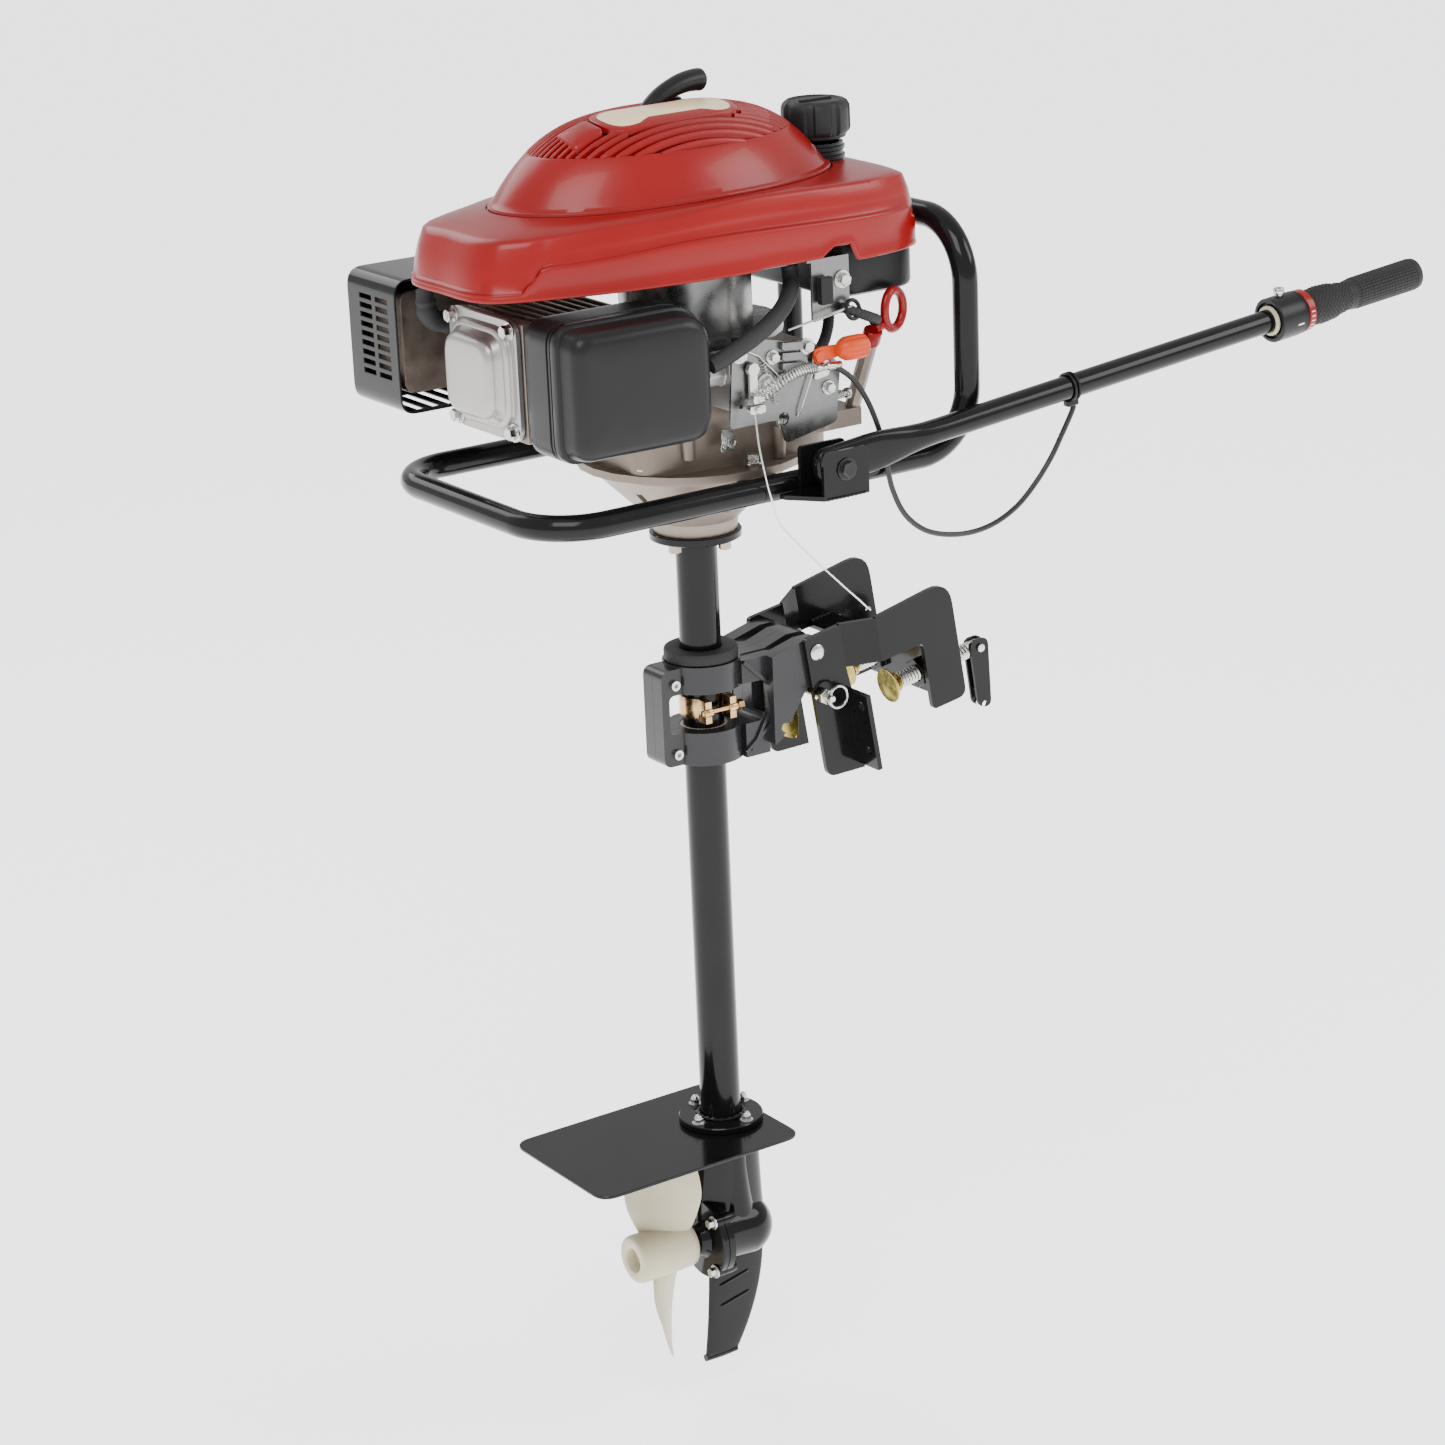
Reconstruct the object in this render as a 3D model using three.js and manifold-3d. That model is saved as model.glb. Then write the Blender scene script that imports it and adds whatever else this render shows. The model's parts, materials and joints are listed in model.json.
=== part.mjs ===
// Petrol outboard motor with a long drive leg and a clamp-on transom bracket.
// Millimetres, +Z up, +X forward to the boat and the tiller, +Y to port.
// The origin is the middle of the flat strap that rests on top of the transom.
import * as THREE from 'three';
import { mergeVertices } from 'three/addons/utils/BufferGeometryUtils.js';
import Module from 'manifold-3d';

const wasm = await Module();
wasm.setup();

// ---- driving dimensions --------------------------------------------------
const GAP = 0.3; // between pieces that touch
const RUN = 0.6; // running clearance of turning pieces

// drive leg
const SHAFT_X = -170; // leg axis behind the transom rest
const TUBE_OD = 38;
const TUBE_WALL = 3;
const HEAD_Z = 141; // top of the flange that carries the engine
const HEAD_R = 42;
const HEAD_T = 7;
const FOOT_Z = -434; // top of the lower flange
const FOOT_R = 40;
const FOOT_T = 6;
const DRIVE_SHAFT_D = 10;
const PLATE_REAR = -184; // cavitation plate, from the leg axis
const PLATE_FRONT = 39;
const PLATE_WIDTH = 156;
const PLATE_T = 3;

// lower unit
const PROP_DROP = 123; // propeller axis below the lower flange
const PROP_Z = FOOT_Z - PROP_DROP;
const PROP_R = 108;
const HUB_R = 23;
const HUB_REAR = -107;
const HUB_FRONT = -44;
const CASE_R = 30;
const CASE_CAP_R = 40;
const CASE_REAR = -30;
const CASE_NOSE = 48;
const STRUT_CHORD = 70;
const STRUT_WIDTH = 32;
const SKEG_DEPTH = 131; // below the propeller axis
const SKEG_Z = PROP_Z - SKEG_DEPTH;
const SKEG_T = 7;
const PROP_SHAFT_D = 14;

// tilting and steering head
const TILT_X = 96; // tilt pin, from the leg axis
const TILT_Z = 14.5;
const TILT_PIN_D = 13;
const HOUSING_TOP = 19.5;
const HOUSING_BOTTOM = -74;
const HOUSING_BOSS_R = 36;
const NOSE_HALF_WIDTH = 42;
const COLLAR_R = 34;
const COLLAR_T = 11.5;
const WINDOW_TOP = -6;
const WINDOW_BOTTOM = -43;
const BUSH_WALL = 3;

// transom bracket
const BRACKET_LEAN = 9; // degrees, top leaning back
const BRACKET_T = 5;
const HOOK_HALF_SPAN = 64;
const CLAMP_Y = 34;
const CLAMP_SCREW_D = 16;
const CLAMP_LEVEL = -42;
const PAD_R = 17;

// engine
const ENGINE_BASE_Z = 212;
const BASE_R = 105;
const CRANKCASE_TOP = 322;
const CRANK_D = 25;
const CRANK_TOP = 420;
const FRAME_D = 23;
const FRAME_Z = 206;
const FRAME_HALF_WIDTH = 135;
const FRAME_REAR = -233;
const FRAME_FRONT = 207;
const FRAME_TOP = 408;
const FRAME_WALL = 2.5;
const FRAME_BEND = 55;
const SHROUD_RIM = 392;
const SHROUD_WALL = 3;
const SHROUD_TOP = 524;
const TANK_NECK_X = 147;
const NECK_R = 24;
const CAP_R = 31;
const CAP_Z = 474;
const CAP_H = 36;

// tiller
const TILLER_Y = -(FRAME_HALF_WIDTH + 31); // clear of the frame rail
const TILLER_BOLT_X = 36;
const TILLER_BOLT_Z = 225;
const TILLER_PITCH = 5.4; // degrees of rise towards the grip
const TILLER_D = 22;
const TILLER_LENGTH = 505; // bolt to throttle collar
const COLLAR_LENGTH = 34;
const GRIP_D = 31;
const GRIP_LENGTH = 150;

// sides of the faceted rounds
const LARGE = 24;
const ROUND = 16;
const SMALL = 8;
const STRUT_POINTS = 20;
const PLAN_POINTS = 36; // round the engine cover
const BEND_STEPS = 5;
const CORNER_STEPS = 6;

// ---- building helpers ----------------------------------------------------
const rad = THREE.MathUtils.degToRad;

function toSolid(geometry) {
  const bare = geometry.clone();
  for (const name of Object.keys(bare.attributes)) {
    if (name !== 'position') bare.deleteAttribute(name);
  }
  const merged = mergeVertices(bare, 1e-4);
  const position = merged.attributes.position;
  const corner = [new THREE.Vector3(), new THREE.Vector3(), new THREE.Vector3()];
  const faces = [];
  let volume = 0;
  for (let i = 0; i < merged.index.count; i += 3) {
    const ids = [0, 1, 2].map((k) => merged.index.getX(i + k));
    if (new Set(ids).size < 3) continue;
    ids.forEach((id, k) => corner[k].fromBufferAttribute(position, id));
    volume += corner[0].dot(corner[1].clone().cross(corner[2]));
    faces.push(ids);
  }
  const triVerts = faces.flatMap(([a, b, c]) => (volume < 0 ? [a, c, b] : [a, b, c]));
  return new wasm.Manifold(new wasm.Mesh({
    numProp: 3,
    vertProperties: Float32Array.from(position.array),
    triVerts: Uint32Array.from(triVerts),
  }));
}

function toGeometry(solid) {
  const mesh = solid.getMesh();
  const geometry = new THREE.BufferGeometry();
  geometry.setAttribute('position', new THREE.BufferAttribute(Float32Array.from(mesh.vertProperties), 3));
  geometry.setIndex(new THREE.BufferAttribute(Uint32Array.from(mesh.triVerts), 1));
  geometry.computeVertexNormals();
  return geometry;
}

const asSolid = (shape) => (shape.isBufferGeometry ? toSolid(shape) : shape);
const join = (...pieces) => pieces.map(asSolid).reduce((sum, piece) => sum.add(piece));
const cut = (body, ...tools) => tools.map(asSolid).reduce((left, tool) => left.subtract(tool),
  asSolid(body));
const common = (a, b) => asSolid(a).intersect(asSolid(b));

function slab(width, depth, height, x = 0, y = 0, z = 0) {
  return new THREE.BoxGeometry(width, depth, height).translate(x, y, z);
}

function rod(radius, length, axis, x = 0, y = 0, z = 0, sides = ROUND, endRadius = radius) {
  const geometry = new THREE.CylinderGeometry(endRadius, radius, length, sides);
  if (axis === 'z') geometry.rotateX(Math.PI / 2);
  if (axis === 'x') geometry.rotateZ(-Math.PI / 2);
  return geometry.translate(x, y, z);
}

// a turned piece on an upright axis, from [radius, z] points
function turned(points, sides = ROUND) {
  const profile = points.map(([r, z]) => new THREE.Vector2(r, z));
  return new THREE.LatheGeometry(profile, sides).rotateX(Math.PI / 2);
}

// an outline whose corners are rounded, each by radius or by its own third value
function outline(points, radius = 0) {
  const shape = new THREE.Shape();
  const count = points.length;
  points.forEach(([x, y, own], i) => {
    const here = new THREE.Vector2(x, y);
    const before = new THREE.Vector2(...points[(i + count - 1) % count].slice(0, 2)).sub(here);
    const after = new THREE.Vector2(...points[(i + 1) % count].slice(0, 2)).sub(here);
    const reach = Math.min(own ?? radius, before.length() * 0.49, after.length() * 0.49);
    const start = here.clone().add(before.setLength(reach));
    const end = here.clone().add(after.setLength(reach));
    if (i === 0) shape.moveTo(start.x, start.y);
    else shape.lineTo(start.x, start.y);
    if (reach > 0.01) shape.quadraticCurveTo(here.x, here.y, end.x, end.y);
  });
  shape.closePath();
  return shape;
}

const extruded = (shape, depth, curveSegments) =>
  new THREE.ExtrudeGeometry(shape, { depth, bevelEnabled: false, curveSegments });

// outline in X and Z, thickness across the boat
function sidePlate(points, thickness, y, radius = 0, curveSegments = CORNER_STEPS) {
  return extruded(outline(points, radius), thickness, curveSegments)
    .rotateX(Math.PI / 2).translate(0, y + thickness / 2, 0);
}

// outline in X and Y, upright thickness
function flatPlate(points, thickness, z, radius = 0, curveSegments = CORNER_STEPS) {
  return extruded(outline(points, radius), thickness, curveSegments).translate(0, 0, z);
}

// outline in Y and Z, thickness forward from x
function crossPlate(points, thickness, x, radius = 0, curveSegments = CORNER_STEPS) {
  const turn = new THREE.Matrix4().makeBasis(
    new THREE.Vector3(0, 1, 0), new THREE.Vector3(0, 0, 1), new THREE.Vector3(1, 0, 0));
  return extruded(outline(points, radius), thickness, curveSegments).applyMatrix4(turn).translate(x, 0, 0);
}

function rectangle(x0, y0, x1, y1) {
  return [[x0, y0], [x1, y0], [x1, y1], [x0, y1]];
}

function circle(radius, sides) {
  const shape = new THREE.Shape();
  for (let i = 0; i < sides; i += 1) {
    const angle = (2 * Math.PI * i) / sides;
    if (i === 0) shape.moveTo(radius, 0);
    else shape.lineTo(radius * Math.cos(angle), radius * Math.sin(angle));
  }
  shape.closePath();
  return shape;
}

function hose(points, diameter, sides, steps, closed = false) {
  const path = new THREE.CatmullRomCurve3(points.map((p) => new THREE.Vector3(...p)), closed,
    'centripetal');
  return new THREE.ExtrudeGeometry(circle(diameter / 2, sides),
    { extrudePath: path, steps, bevelEnabled: false });
}

// a closed skin through rings of points, first and last ring capped
function loft(rings) {
  const count = rings[0].length;
  const positions = rings.flat(2);
  const index = [];
  for (let r = 0; r < rings.length - 1; r += 1) {
    for (let i = 0; i < count; i += 1) {
      const a = r * count + i;
      const b = r * count + ((i + 1) % count);
      index.push(a, b, b + count, a, b + count, a + count);
    }
  }
  const cap = (ring, flip) => {
    const base = ring * count;
    for (let i = 1; i < count - 1; i += 1) {
      index.push(base, base + (flip ? i + 1 : i), base + (flip ? i : i + 1));
    }
  };
  cap(0, true);
  cap(rings.length - 1, false);
  const geometry = new THREE.BufferGeometry();
  geometry.setAttribute('position', new THREE.Float32BufferAttribute(positions, 3));
  geometry.setIndex(index);
  return geometry;
}

// a bent tube through corners, every bend an arc of the same reach
function bentTube(corners, diameter, reach, sides) {
  const points = corners.map((p) => new THREE.Vector3(...p));
  const centre = [points[0]];
  for (let i = 1; i < points.length - 1; i += 1) {
    const back = points[i - 1].clone().sub(points[i]).normalize();
    const ahead = points[i + 1].clone().sub(points[i]).normalize();
    const middle = points[i].clone().addScaledVector(back, reach).addScaledVector(ahead, reach);
    for (let k = 0; k <= BEND_STEPS; k += 1) {
      const angle = (Math.PI / 2) * (k / BEND_STEPS);
      centre.push(middle.clone().addScaledVector(ahead, -reach * Math.cos(angle))
        .addScaledVector(back, -reach * Math.sin(angle)));
    }
  }
  centre.push(points[points.length - 1]);
  let side = new THREE.Vector3(0, 0, 1);
  const rings = centre.map((p, i) => {
    const before = centre[Math.max(i - 1, 0)];
    const after = centre[Math.min(i + 1, centre.length - 1)];
    const forward = after.clone().sub(before).normalize();
    side = side.addScaledVector(forward, -side.dot(forward)).normalize();
    const across = forward.clone().cross(side);
    return Array.from({ length: sides }, (_, k) => {
      const angle = (2 * Math.PI * k) / sides;
      return p.clone().addScaledVector(side, (diameter / 2) * Math.cos(angle))
        .addScaledVector(across, (diameter / 2) * Math.sin(angle)).toArray();
    });
  });
  return loft(rings);
}

// hexagon head or nut on an axis, measured across its flats
const hexagon = (flats, height, axis, x, y, z) => rod(flats / Math.sqrt(3), height, axis, x, y, z, 6);

function addPart(parent, name, shape, color, roughness, metalness) {
  const geometry = toGeometry(asSolid(shape));
  const mesh = new THREE.Mesh(geometry, new THREE.MeshStandardMaterial({ color, roughness, metalness }));
  mesh.name = name;
  parent.add(mesh);
  return mesh;
}

const BLACK_PAINT = [0x141416, 0.25, 0.4];
const BLACK_PLASTIC = [0x232326, 0.55, 0];
const YELLOW_ZINC = [0x96823a, 0.35, 0.9];
const BRIGHT_ZINC = [0xb5b6b3, 0.35, 0.95];
const RED_PLASTIC = [0xc8231e, 0.35, 0];
const CAST_ALUMINIUM = [0x7d6f63, 0.6, 0.6];
const STEEL = [0x9a9a98, 0.35, 0.95];

const motor = new THREE.Group();
const transom = new THREE.Group();
const leg = new THREE.Group(); // everything measured from the leg axis
leg.position.x = SHAFT_X;
motor.add(transom, leg);

// ---- transom bracket -----------------------------------------------------
transom.rotation.y = rad(-BRACKET_LEAN);

// a point given from the leg axis, in the leaning bracket's own X and Z
function inBracket(x, z) {
  const lean = rad(BRACKET_LEAN);
  const forward = x + SHAFT_X;
  return [forward * Math.cos(lean) + z * Math.sin(lean), z * Math.cos(lean) - forward * Math.sin(lean)];
}
const [TILT_U, TILT_W] = inBracket(TILT_X, TILT_Z);
const NOTCH_FRONT = 33;
const JOG_REAR = -42;
const JOG_FRONT = -14;
const PIVOT_HALF_SPAN = NOSE_HALF_WIDTH + GAP + BRACKET_T / 2;
const TRIM_PIN_D = 8;
const TRIM_PIN_U = TILT_U - 6;
const TRIM_PIN_W = -16;
const HOOK_FRONT = 73;
const HOOK_BOTTOM = -68;
const LEG_REAR = -82;
const LEG_BOTTOM = -97;
const FLANGE_WIDTH = 34;
const HOOK_TOP = 46;
const FLANGE_TOP = -22;

function bracketPlate(side) {
  const inner = PIVOT_HALF_SPAN;
  const rearPart = sidePlate([
    [LEG_REAR, HOOK_TOP - 4, 5], [JOG_REAR, HOOK_TOP - 4], [JOG_REAR, -2], [JOG_REAR + 2, FLANGE_TOP],
    [JOG_REAR + 2, LEG_BOTTOM - 6], [LEG_REAR, LEG_BOTTOM, 9],
  ], BRACKET_T, inner);
  const slope = flatPlate([
    [JOG_REAR - 0.1, inner - BRACKET_T / 2], [JOG_REAR - 0.1, inner + BRACKET_T / 2],
    [JOG_FRONT, HOOK_HALF_SPAN + BRACKET_T / 2], [JOG_FRONT + 0.1, HOOK_HALF_SPAN - BRACKET_T / 2],
  ], HOOK_TOP - 3, 0);
  const hook = sidePlate([
    [JOG_FRONT, 0], [NOTCH_FRONT, 0, 4], [NOTCH_FRONT, HOOK_BOTTOM, 5], [HOOK_FRONT, HOOK_BOTTOM, 10],
    [HOOK_FRONT, HOOK_TOP + 4, 24], [JOG_FRONT, HOOK_TOP - 2],
  ], BRACKET_T, HOOK_HALF_SPAN, 0, 6);
  const flange = slab(BRACKET_T, FLANGE_WIDTH, FLANGE_TOP - LEG_BOTTOM,
    JOG_REAR + 2 - BRACKET_T / 2, inner - BRACKET_T / 2 + FLANGE_WIDTH / 2, (FLANGE_TOP + LEG_BOTTOM) / 2);
  const holes = [-34, -80].map((w) =>
    rod(4.5, 20, 'x', JOG_REAR, inner + FLANGE_WIDTH * 0.62, w, SMALL));
  const plate = cut(join(rearPart, slope, hook, flange), ...holes,
    rod(TILT_PIN_D / 2 + GAP, 20, 'y', TILT_U, inner, TILT_W),
    rod(TRIM_PIN_D / 2 + RUN, 20, 'y', TRIM_PIN_U, inner, TRIM_PIN_W, SMALL));
  return side > 0 ? plate : plate.scale([1, -1, 1]);
}
addPart(transom, 'bracket_plate_port', bracketPlate(1), ...BLACK_PAINT);
addPart(transom, 'bracket_plate_starboard', bracketPlate(-1), ...BLACK_PAINT);

const webSpan = 2 * (HOOK_HALF_SPAN - BRACKET_T / 2 - GAP);
addPart(transom, 'transom_rest', slab(30, webSpan, 5, 9, 0, 2.5), ...BLACK_PAINT);
const SCREW_PLATE_U = 50;
const screwPlate = join(
  slab(5, webSpan, 46, SCREW_PLATE_U, 0, CLAMP_LEVEL + 3),
  ...[-1, 1].map((side) => hexagon(26, 18, 'x', SCREW_PLATE_U, side * CLAMP_Y, CLAMP_LEVEL)));
addPart(transom, 'clamp_cross_plate', cut(screwPlate,
  ...[-1, 1].map((side) =>
    rod(CLAMP_SCREW_D / 2 + RUN, 40, 'x', SCREW_PLATE_U, side * CLAMP_Y, CLAMP_LEVEL, SMALL))),
      ...BLACK_PAINT);

// tilt pin with a riveted head at each end
const pinHead = PIVOT_HALF_SPAN + BRACKET_T / 2 + GAP;
addPart(transom, 'tilt_pin', join(
  rod(TILT_PIN_D / 2, 2 * pinHead + 1, 'y', TILT_U, 0, TILT_W),
  ...[-1, 1].map((side) => rod(7.5, 2.4, 'y', TILT_U, side * (pinHead + 1.2), TILT_W))), ...BRIGHT_ZINC);

// trim pin with its pull ring, which the leg's front edge rests on
const ringY = -(PIVOT_HALF_SPAN + BRACKET_T / 2 + 9);
const TRIM_PIN_LENGTH = 2 * (PIVOT_HALF_SPAN + BRACKET_T / 2 + 3);
addPart(transom, 'trim_pin', join(
  rod(TRIM_PIN_D / 2, TRIM_PIN_LENGTH + 8, 'y', TRIM_PIN_U, -4, TRIM_PIN_W, SMALL),
  rod(TRIM_PIN_D / 2 + 3, 5, 'y', TRIM_PIN_U, ringY + 4, TRIM_PIN_W, SMALL),
  new THREE.TorusGeometry(10, 1.6, 8, ROUND).rotateX(Math.PI / 2).translate(TRIM_PIN_U + 10, ringY,
    TRIM_PIN_W - 3)),
...BRIGHT_ZINC);

// two clamp screws, each with a swivel pad and a folding lever
const PAD_U = NOTCH_FRONT - 21;
const HUB_U = HOOK_FRONT + 34;
const LEVER_LENGTH = 62;
for (const [name, side] of [['starboard', -1], ['port', 1]]) {
  const y = side * CLAMP_Y;
  const shank = HUB_U - 4 - PAD_U;
  const fork = join(
    rod(CLAMP_SCREW_D / 2, shank, 'x', PAD_U + shank / 2, y, CLAMP_LEVEL, SMALL),
    rod(PAD_R, 3, 'x', PAD_U - 2, y, CLAMP_LEVEL, ROUND, PAD_R - 3),
    rod(10, 8, 'x', PAD_U + 3, y, CLAMP_LEVEL, SMALL),
    slab(20, 6, 15, HUB_U + 4, y, CLAMP_LEVEL));
  addPart(transom, `clamp_screw_${name}`, cut(fork, rod(2.9, 30, 'y', HUB_U + 8, y, CLAMP_LEVEL, SMALL)),
    ...BRIGHT_ZINC);
  const cheek = (offset) => sidePlate([
    [HUB_U - 3, CLAMP_LEVEL + 10, 9], [HUB_U + 19, CLAMP_LEVEL + 8, 9],
      [HUB_U + 11, CLAMP_LEVEL - LEVER_LENGTH, 9],
    [HUB_U - 4, CLAMP_LEVEL - LEVER_LENGTH + 4, 9],
  ], 2.5, y + offset);
  const bridge = slab(11, 9, 10, HUB_U + 4, y, CLAMP_LEVEL - LEVER_LENGTH + 17);
  addPart(transom, `clamp_lever_${name}`, cut(join(cheek(-4.75), cheek(4.75), bridge,
    rod(2.5, 13, 'y', HUB_U + 8, y, CLAMP_LEVEL, SMALL)),
  rod(3.2, 20, 'y', HUB_U + 3.5, y, CLAMP_LEVEL - LEVER_LENGTH + 5, SMALL)), ...BLACK_PAINT);
}

// ---- swivel housing ------------------------------------------------------
const LATCH_X = 62;
const LATCH_Z = -52;
const BORE_R = TUBE_OD / 2 + BUSH_WALL + GAP;
const STRAP_REAR = -54;
const housingSide = [
  [STRAP_REAR, HOUSING_TOP - 1, 9], [60, HOUSING_TOP - 1], [TILT_X - 12, TILT_Z + 12],
    [TILT_X + 13, TILT_Z + 12, 12],
  [TILT_X + 13, TILT_Z - 13, 12], [TILT_X - 8, -28], [56, HOUSING_BOTTOM + 6], [46, HOUSING_BOTTOM, 4],
  [STRAP_REAR, HOUSING_BOTTOM + 1, 9],
];
const windowSide = [
  [-46, WINDOW_TOP, 6], [44, WINDOW_TOP, 6], [44, WINDOW_BOTTOM, 6], [-46, WINDOW_BOTTOM, 6],
];
function swivelHalf(side) {
  const half = (near, far) => ({ thickness: far - near, y: (near + far) / 2 });
  const spine = half(GAP / 2, 15);
  const cheek = half(26, NOSE_HALF_WIDTH);
  const bossSpan = (top, bottom) => common(
    rod(HOUSING_BOSS_R, top - bottom, 'z', 0, 0, (top + bottom) / 2, LARGE),
    slab(200, 200, 200, 0, 100 + GAP / 2, 0));
  let body = join(
    sidePlate(housingSide, spine.thickness, spine.y),
    bossSpan(HOUSING_TOP, WINDOW_TOP),
    bossSpan(WINDOW_BOTTOM, HOUSING_BOTTOM),
    flatPlate([[20, 10], [TILT_X + 6, 10], [TILT_X + 6, cheek.y], [24, 30]], HOUSING_TOP - WINDOW_TOP - 3,
      WINDOW_TOP + 1),
    sidePlate([[50, HOUSING_TOP - 2], [TILT_X - 12, TILT_Z + 12], [TILT_X + 13, TILT_Z + 12, 12],
      [TILT_X + 13, TILT_Z - 13, 12], [TILT_X - 12, -24], [58, HOUSING_BOTTOM + 12],
        [50, HOUSING_BOTTOM + 8]],
    cheek.thickness, cheek.y),
    slab(26, 30, 40, 38, 17, (HOUSING_BOTTOM + WINDOW_BOTTOM) / 2 - 1 + 4));
  const ribs = [
    [[24, HOUSING_TOP - 3], [62, -20]], [[30, -70], [76, 8]], [[24, HOUSING_BOTTOM + 5], [70, -34]],
  ].map(([[x0, z0], [x1, z1]]) => {
    const length = Math.hypot(x1 - x0, z1 - z0);
    return slab(length, 5, 3).rotateY(-Math.atan2(z1 - z0, x1 - x0))
      .translate((x0 + x1) / 2, 32, (z0 + z1) / 2);
  });
  body = join(body, ...ribs);
  body = cut(body,
    sidePlate(windowSide, 120, 0),
    rod(BORE_R, 300, 'z', 0, 0, 0, LARGE),
    rod(BORE_R + 4 + GAP, 4 + GAP, 'z', 0, 0, HOUSING_TOP - (4 + GAP) / 2 + 0.05, LARGE),
    rod(BORE_R + 4 + GAP, 4 + GAP, 'z', 0, 0, HOUSING_BOTTOM + (4 + GAP) / 2 - 0.05, LARGE),
    rod(TILT_PIN_D / 2 + RUN, 200, 'y', TILT_X, 0, TILT_Z),
    rod(4 + RUN, 200, 'y', LATCH_X, 0, LATCH_Z, SMALL),
    slab(60, 26, 26, TILT_X - 10, 0, TILT_Z - 34));
  return side > 0 ? body : body.scale([1, -1, 1]);
}
addPart(leg, 'swivel_half_port', swivelHalf(1), ...BLACK_PLASTIC);
addPart(leg, 'swivel_half_starboard', swivelHalf(-1), ...BLACK_PLASTIC);

function bush(flangeZ, endZ) {
  const inner = TUBE_OD / 2 + GAP / 2;
  const outer = BORE_R - GAP / 2;
  const step = Math.sign(endZ - flangeZ) * 4;
  return turned([[inner, flangeZ], [outer + 4, flangeZ], [outer + 4, flangeZ + step],
    [outer, flangeZ + step],
    [outer, endZ], [inner, endZ], [inner, flangeZ]], LARGE);
}
addPart(leg, 'upper_bush', bush(HOUSING_TOP - 0.05, WINDOW_TOP + 0.5), 0xd8d4c8, 0.5, 0);
addPart(leg, 'lower_bush', bush(HOUSING_BOTTOM + 0.05, WINDOW_BOTTOM - 0.5), 0xd8d4c8, 0.5, 0);

// tilt latch: a pressed hook above and its finger plate below, on one cross pin
const latchCheek = (y) => sidePlate([
  [LATCH_X - 6, LATCH_Z - 8, 5], [LATCH_X + 24, LATCH_Z - 22, 3], [LATCH_X + 30, LATCH_Z - 18, 3],
  [LATCH_X + 30, LATCH_Z + 14, 3], [LATCH_X + 24, LATCH_Z + 18], [LATCH_X - 4, LATCH_Z + 9, 5]], 2.5, y);
addPart(leg, 'tilt_latch', join(
  latchCheek(-18),
  latchCheek(18),
  slab(2.5, 38, 36, LATCH_X + 29, 0, LATCH_Z - 4),
  rod(4, 38, 'y', LATCH_X, 0, LATCH_Z, SMALL)), ...YELLOW_ZINC);

// ---- drive leg -----------------------------------------------------------
const TUBE_ID = TUBE_OD - 2 * TUBE_WALL;
const tubeTop = HEAD_Z - HEAD_T - GAP;
const ringOf = (outer, inner, bottom, top, sides = LARGE) =>
  turned([[inner, bottom], [outer, bottom], [outer, top], [inner, top], [inner, bottom]], sides);
addPart(leg, 'leg_tube', ringOf(TUBE_OD / 2, TUBE_ID / 2, FOOT_Z + GAP + 0.05, tubeTop), ...BLACK_PAINT);
const aroundFlange = (count, radius, start, make) =>
  Array.from({ length: count }, (_, i) => {
    const angle = rad(start + (360 / count) * i);
    return make(radius * Math.cos(angle), radius * Math.sin(angle));
  });
addPart(leg, 'head_flange', join(
  ringOf(HEAD_R, TUBE_ID / 2, HEAD_Z - HEAD_T, HEAD_Z),
  ...aroundFlange(4, HEAD_R - 10, 20, (x, y) => hexagon(10, 9, 'z', x, y, HEAD_Z - HEAD_T - 4))),
    ...BLACK_PAINT);
addPart(leg, 'thrust_collar', turned([
  [TUBE_OD / 2 + GAP / 2, HOUSING_TOP + GAP], [COLLAR_R, HOUSING_TOP + GAP],
    [COLLAR_R, HOUSING_TOP + COLLAR_T - 1.5],
  [COLLAR_R - 1.5, HOUSING_TOP + COLLAR_T], [TUBE_OD / 2 + GAP / 2, HOUSING_TOP + COLLAR_T],
  [TUBE_OD / 2 + GAP / 2, HOUSING_TOP + GAP]], LARGE), ...BLACK_PLASTIC);

// T-bolt band clamp that sets the steering friction
const BAND_Z = (WINDOW_TOP + WINDOW_BOTTOM) / 2;
const bandLug = -(TUBE_OD / 2 + 4);
const bandScrew = bandLug - 3;
addPart(leg, 'friction_band', cut(join(
  ringOf(TUBE_OD / 2 + 3, TUBE_OD / 2 + GAP / 2, BAND_Z - 10, BAND_Z + 10),
  slab(6, 14, 18, 14, bandLug, BAND_Z),
  slab(6, 14, 18, -14, bandLug, BAND_Z),
  rod(2.5, 46, 'x', 1, bandScrew, BAND_Z, SMALL),
  hexagon(9, 5, 'x', 22, bandScrew, BAND_Z)),
rod(TUBE_OD / 2 + GAP / 2, 40, 'z', 0, 0, BAND_Z, LARGE)), 0xbe965a, 0.35, 0.9);

addPart(leg, 'foot_flange', join(
  ringOf(FOOT_R, TUBE_ID / 2, FOOT_Z - FOOT_T, FOOT_Z),
  turned([[TUBE_ID / 2, FOOT_Z - 1], [TUBE_OD / 2 + 5, FOOT_Z - 1], [TUBE_OD / 2 + 5, FOOT_Z],
    [TUBE_OD / 2 + 1, FOOT_Z + 4],
    [TUBE_OD / 2 + GAP, FOOT_Z + 4], [TUBE_OD / 2 + GAP, FOOT_Z], [TUBE_ID / 2, FOOT_Z],
      [TUBE_ID / 2, FOOT_Z - 1]], LARGE),
  ...aroundFlange(4, FOOT_R - 8, 15, (x, y) => hexagon(8, 5, 'z', x, y, FOOT_Z + 2))), ...BLACK_PAINT);
const PLATE_TOP = FOOT_Z - FOOT_T - GAP;
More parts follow.
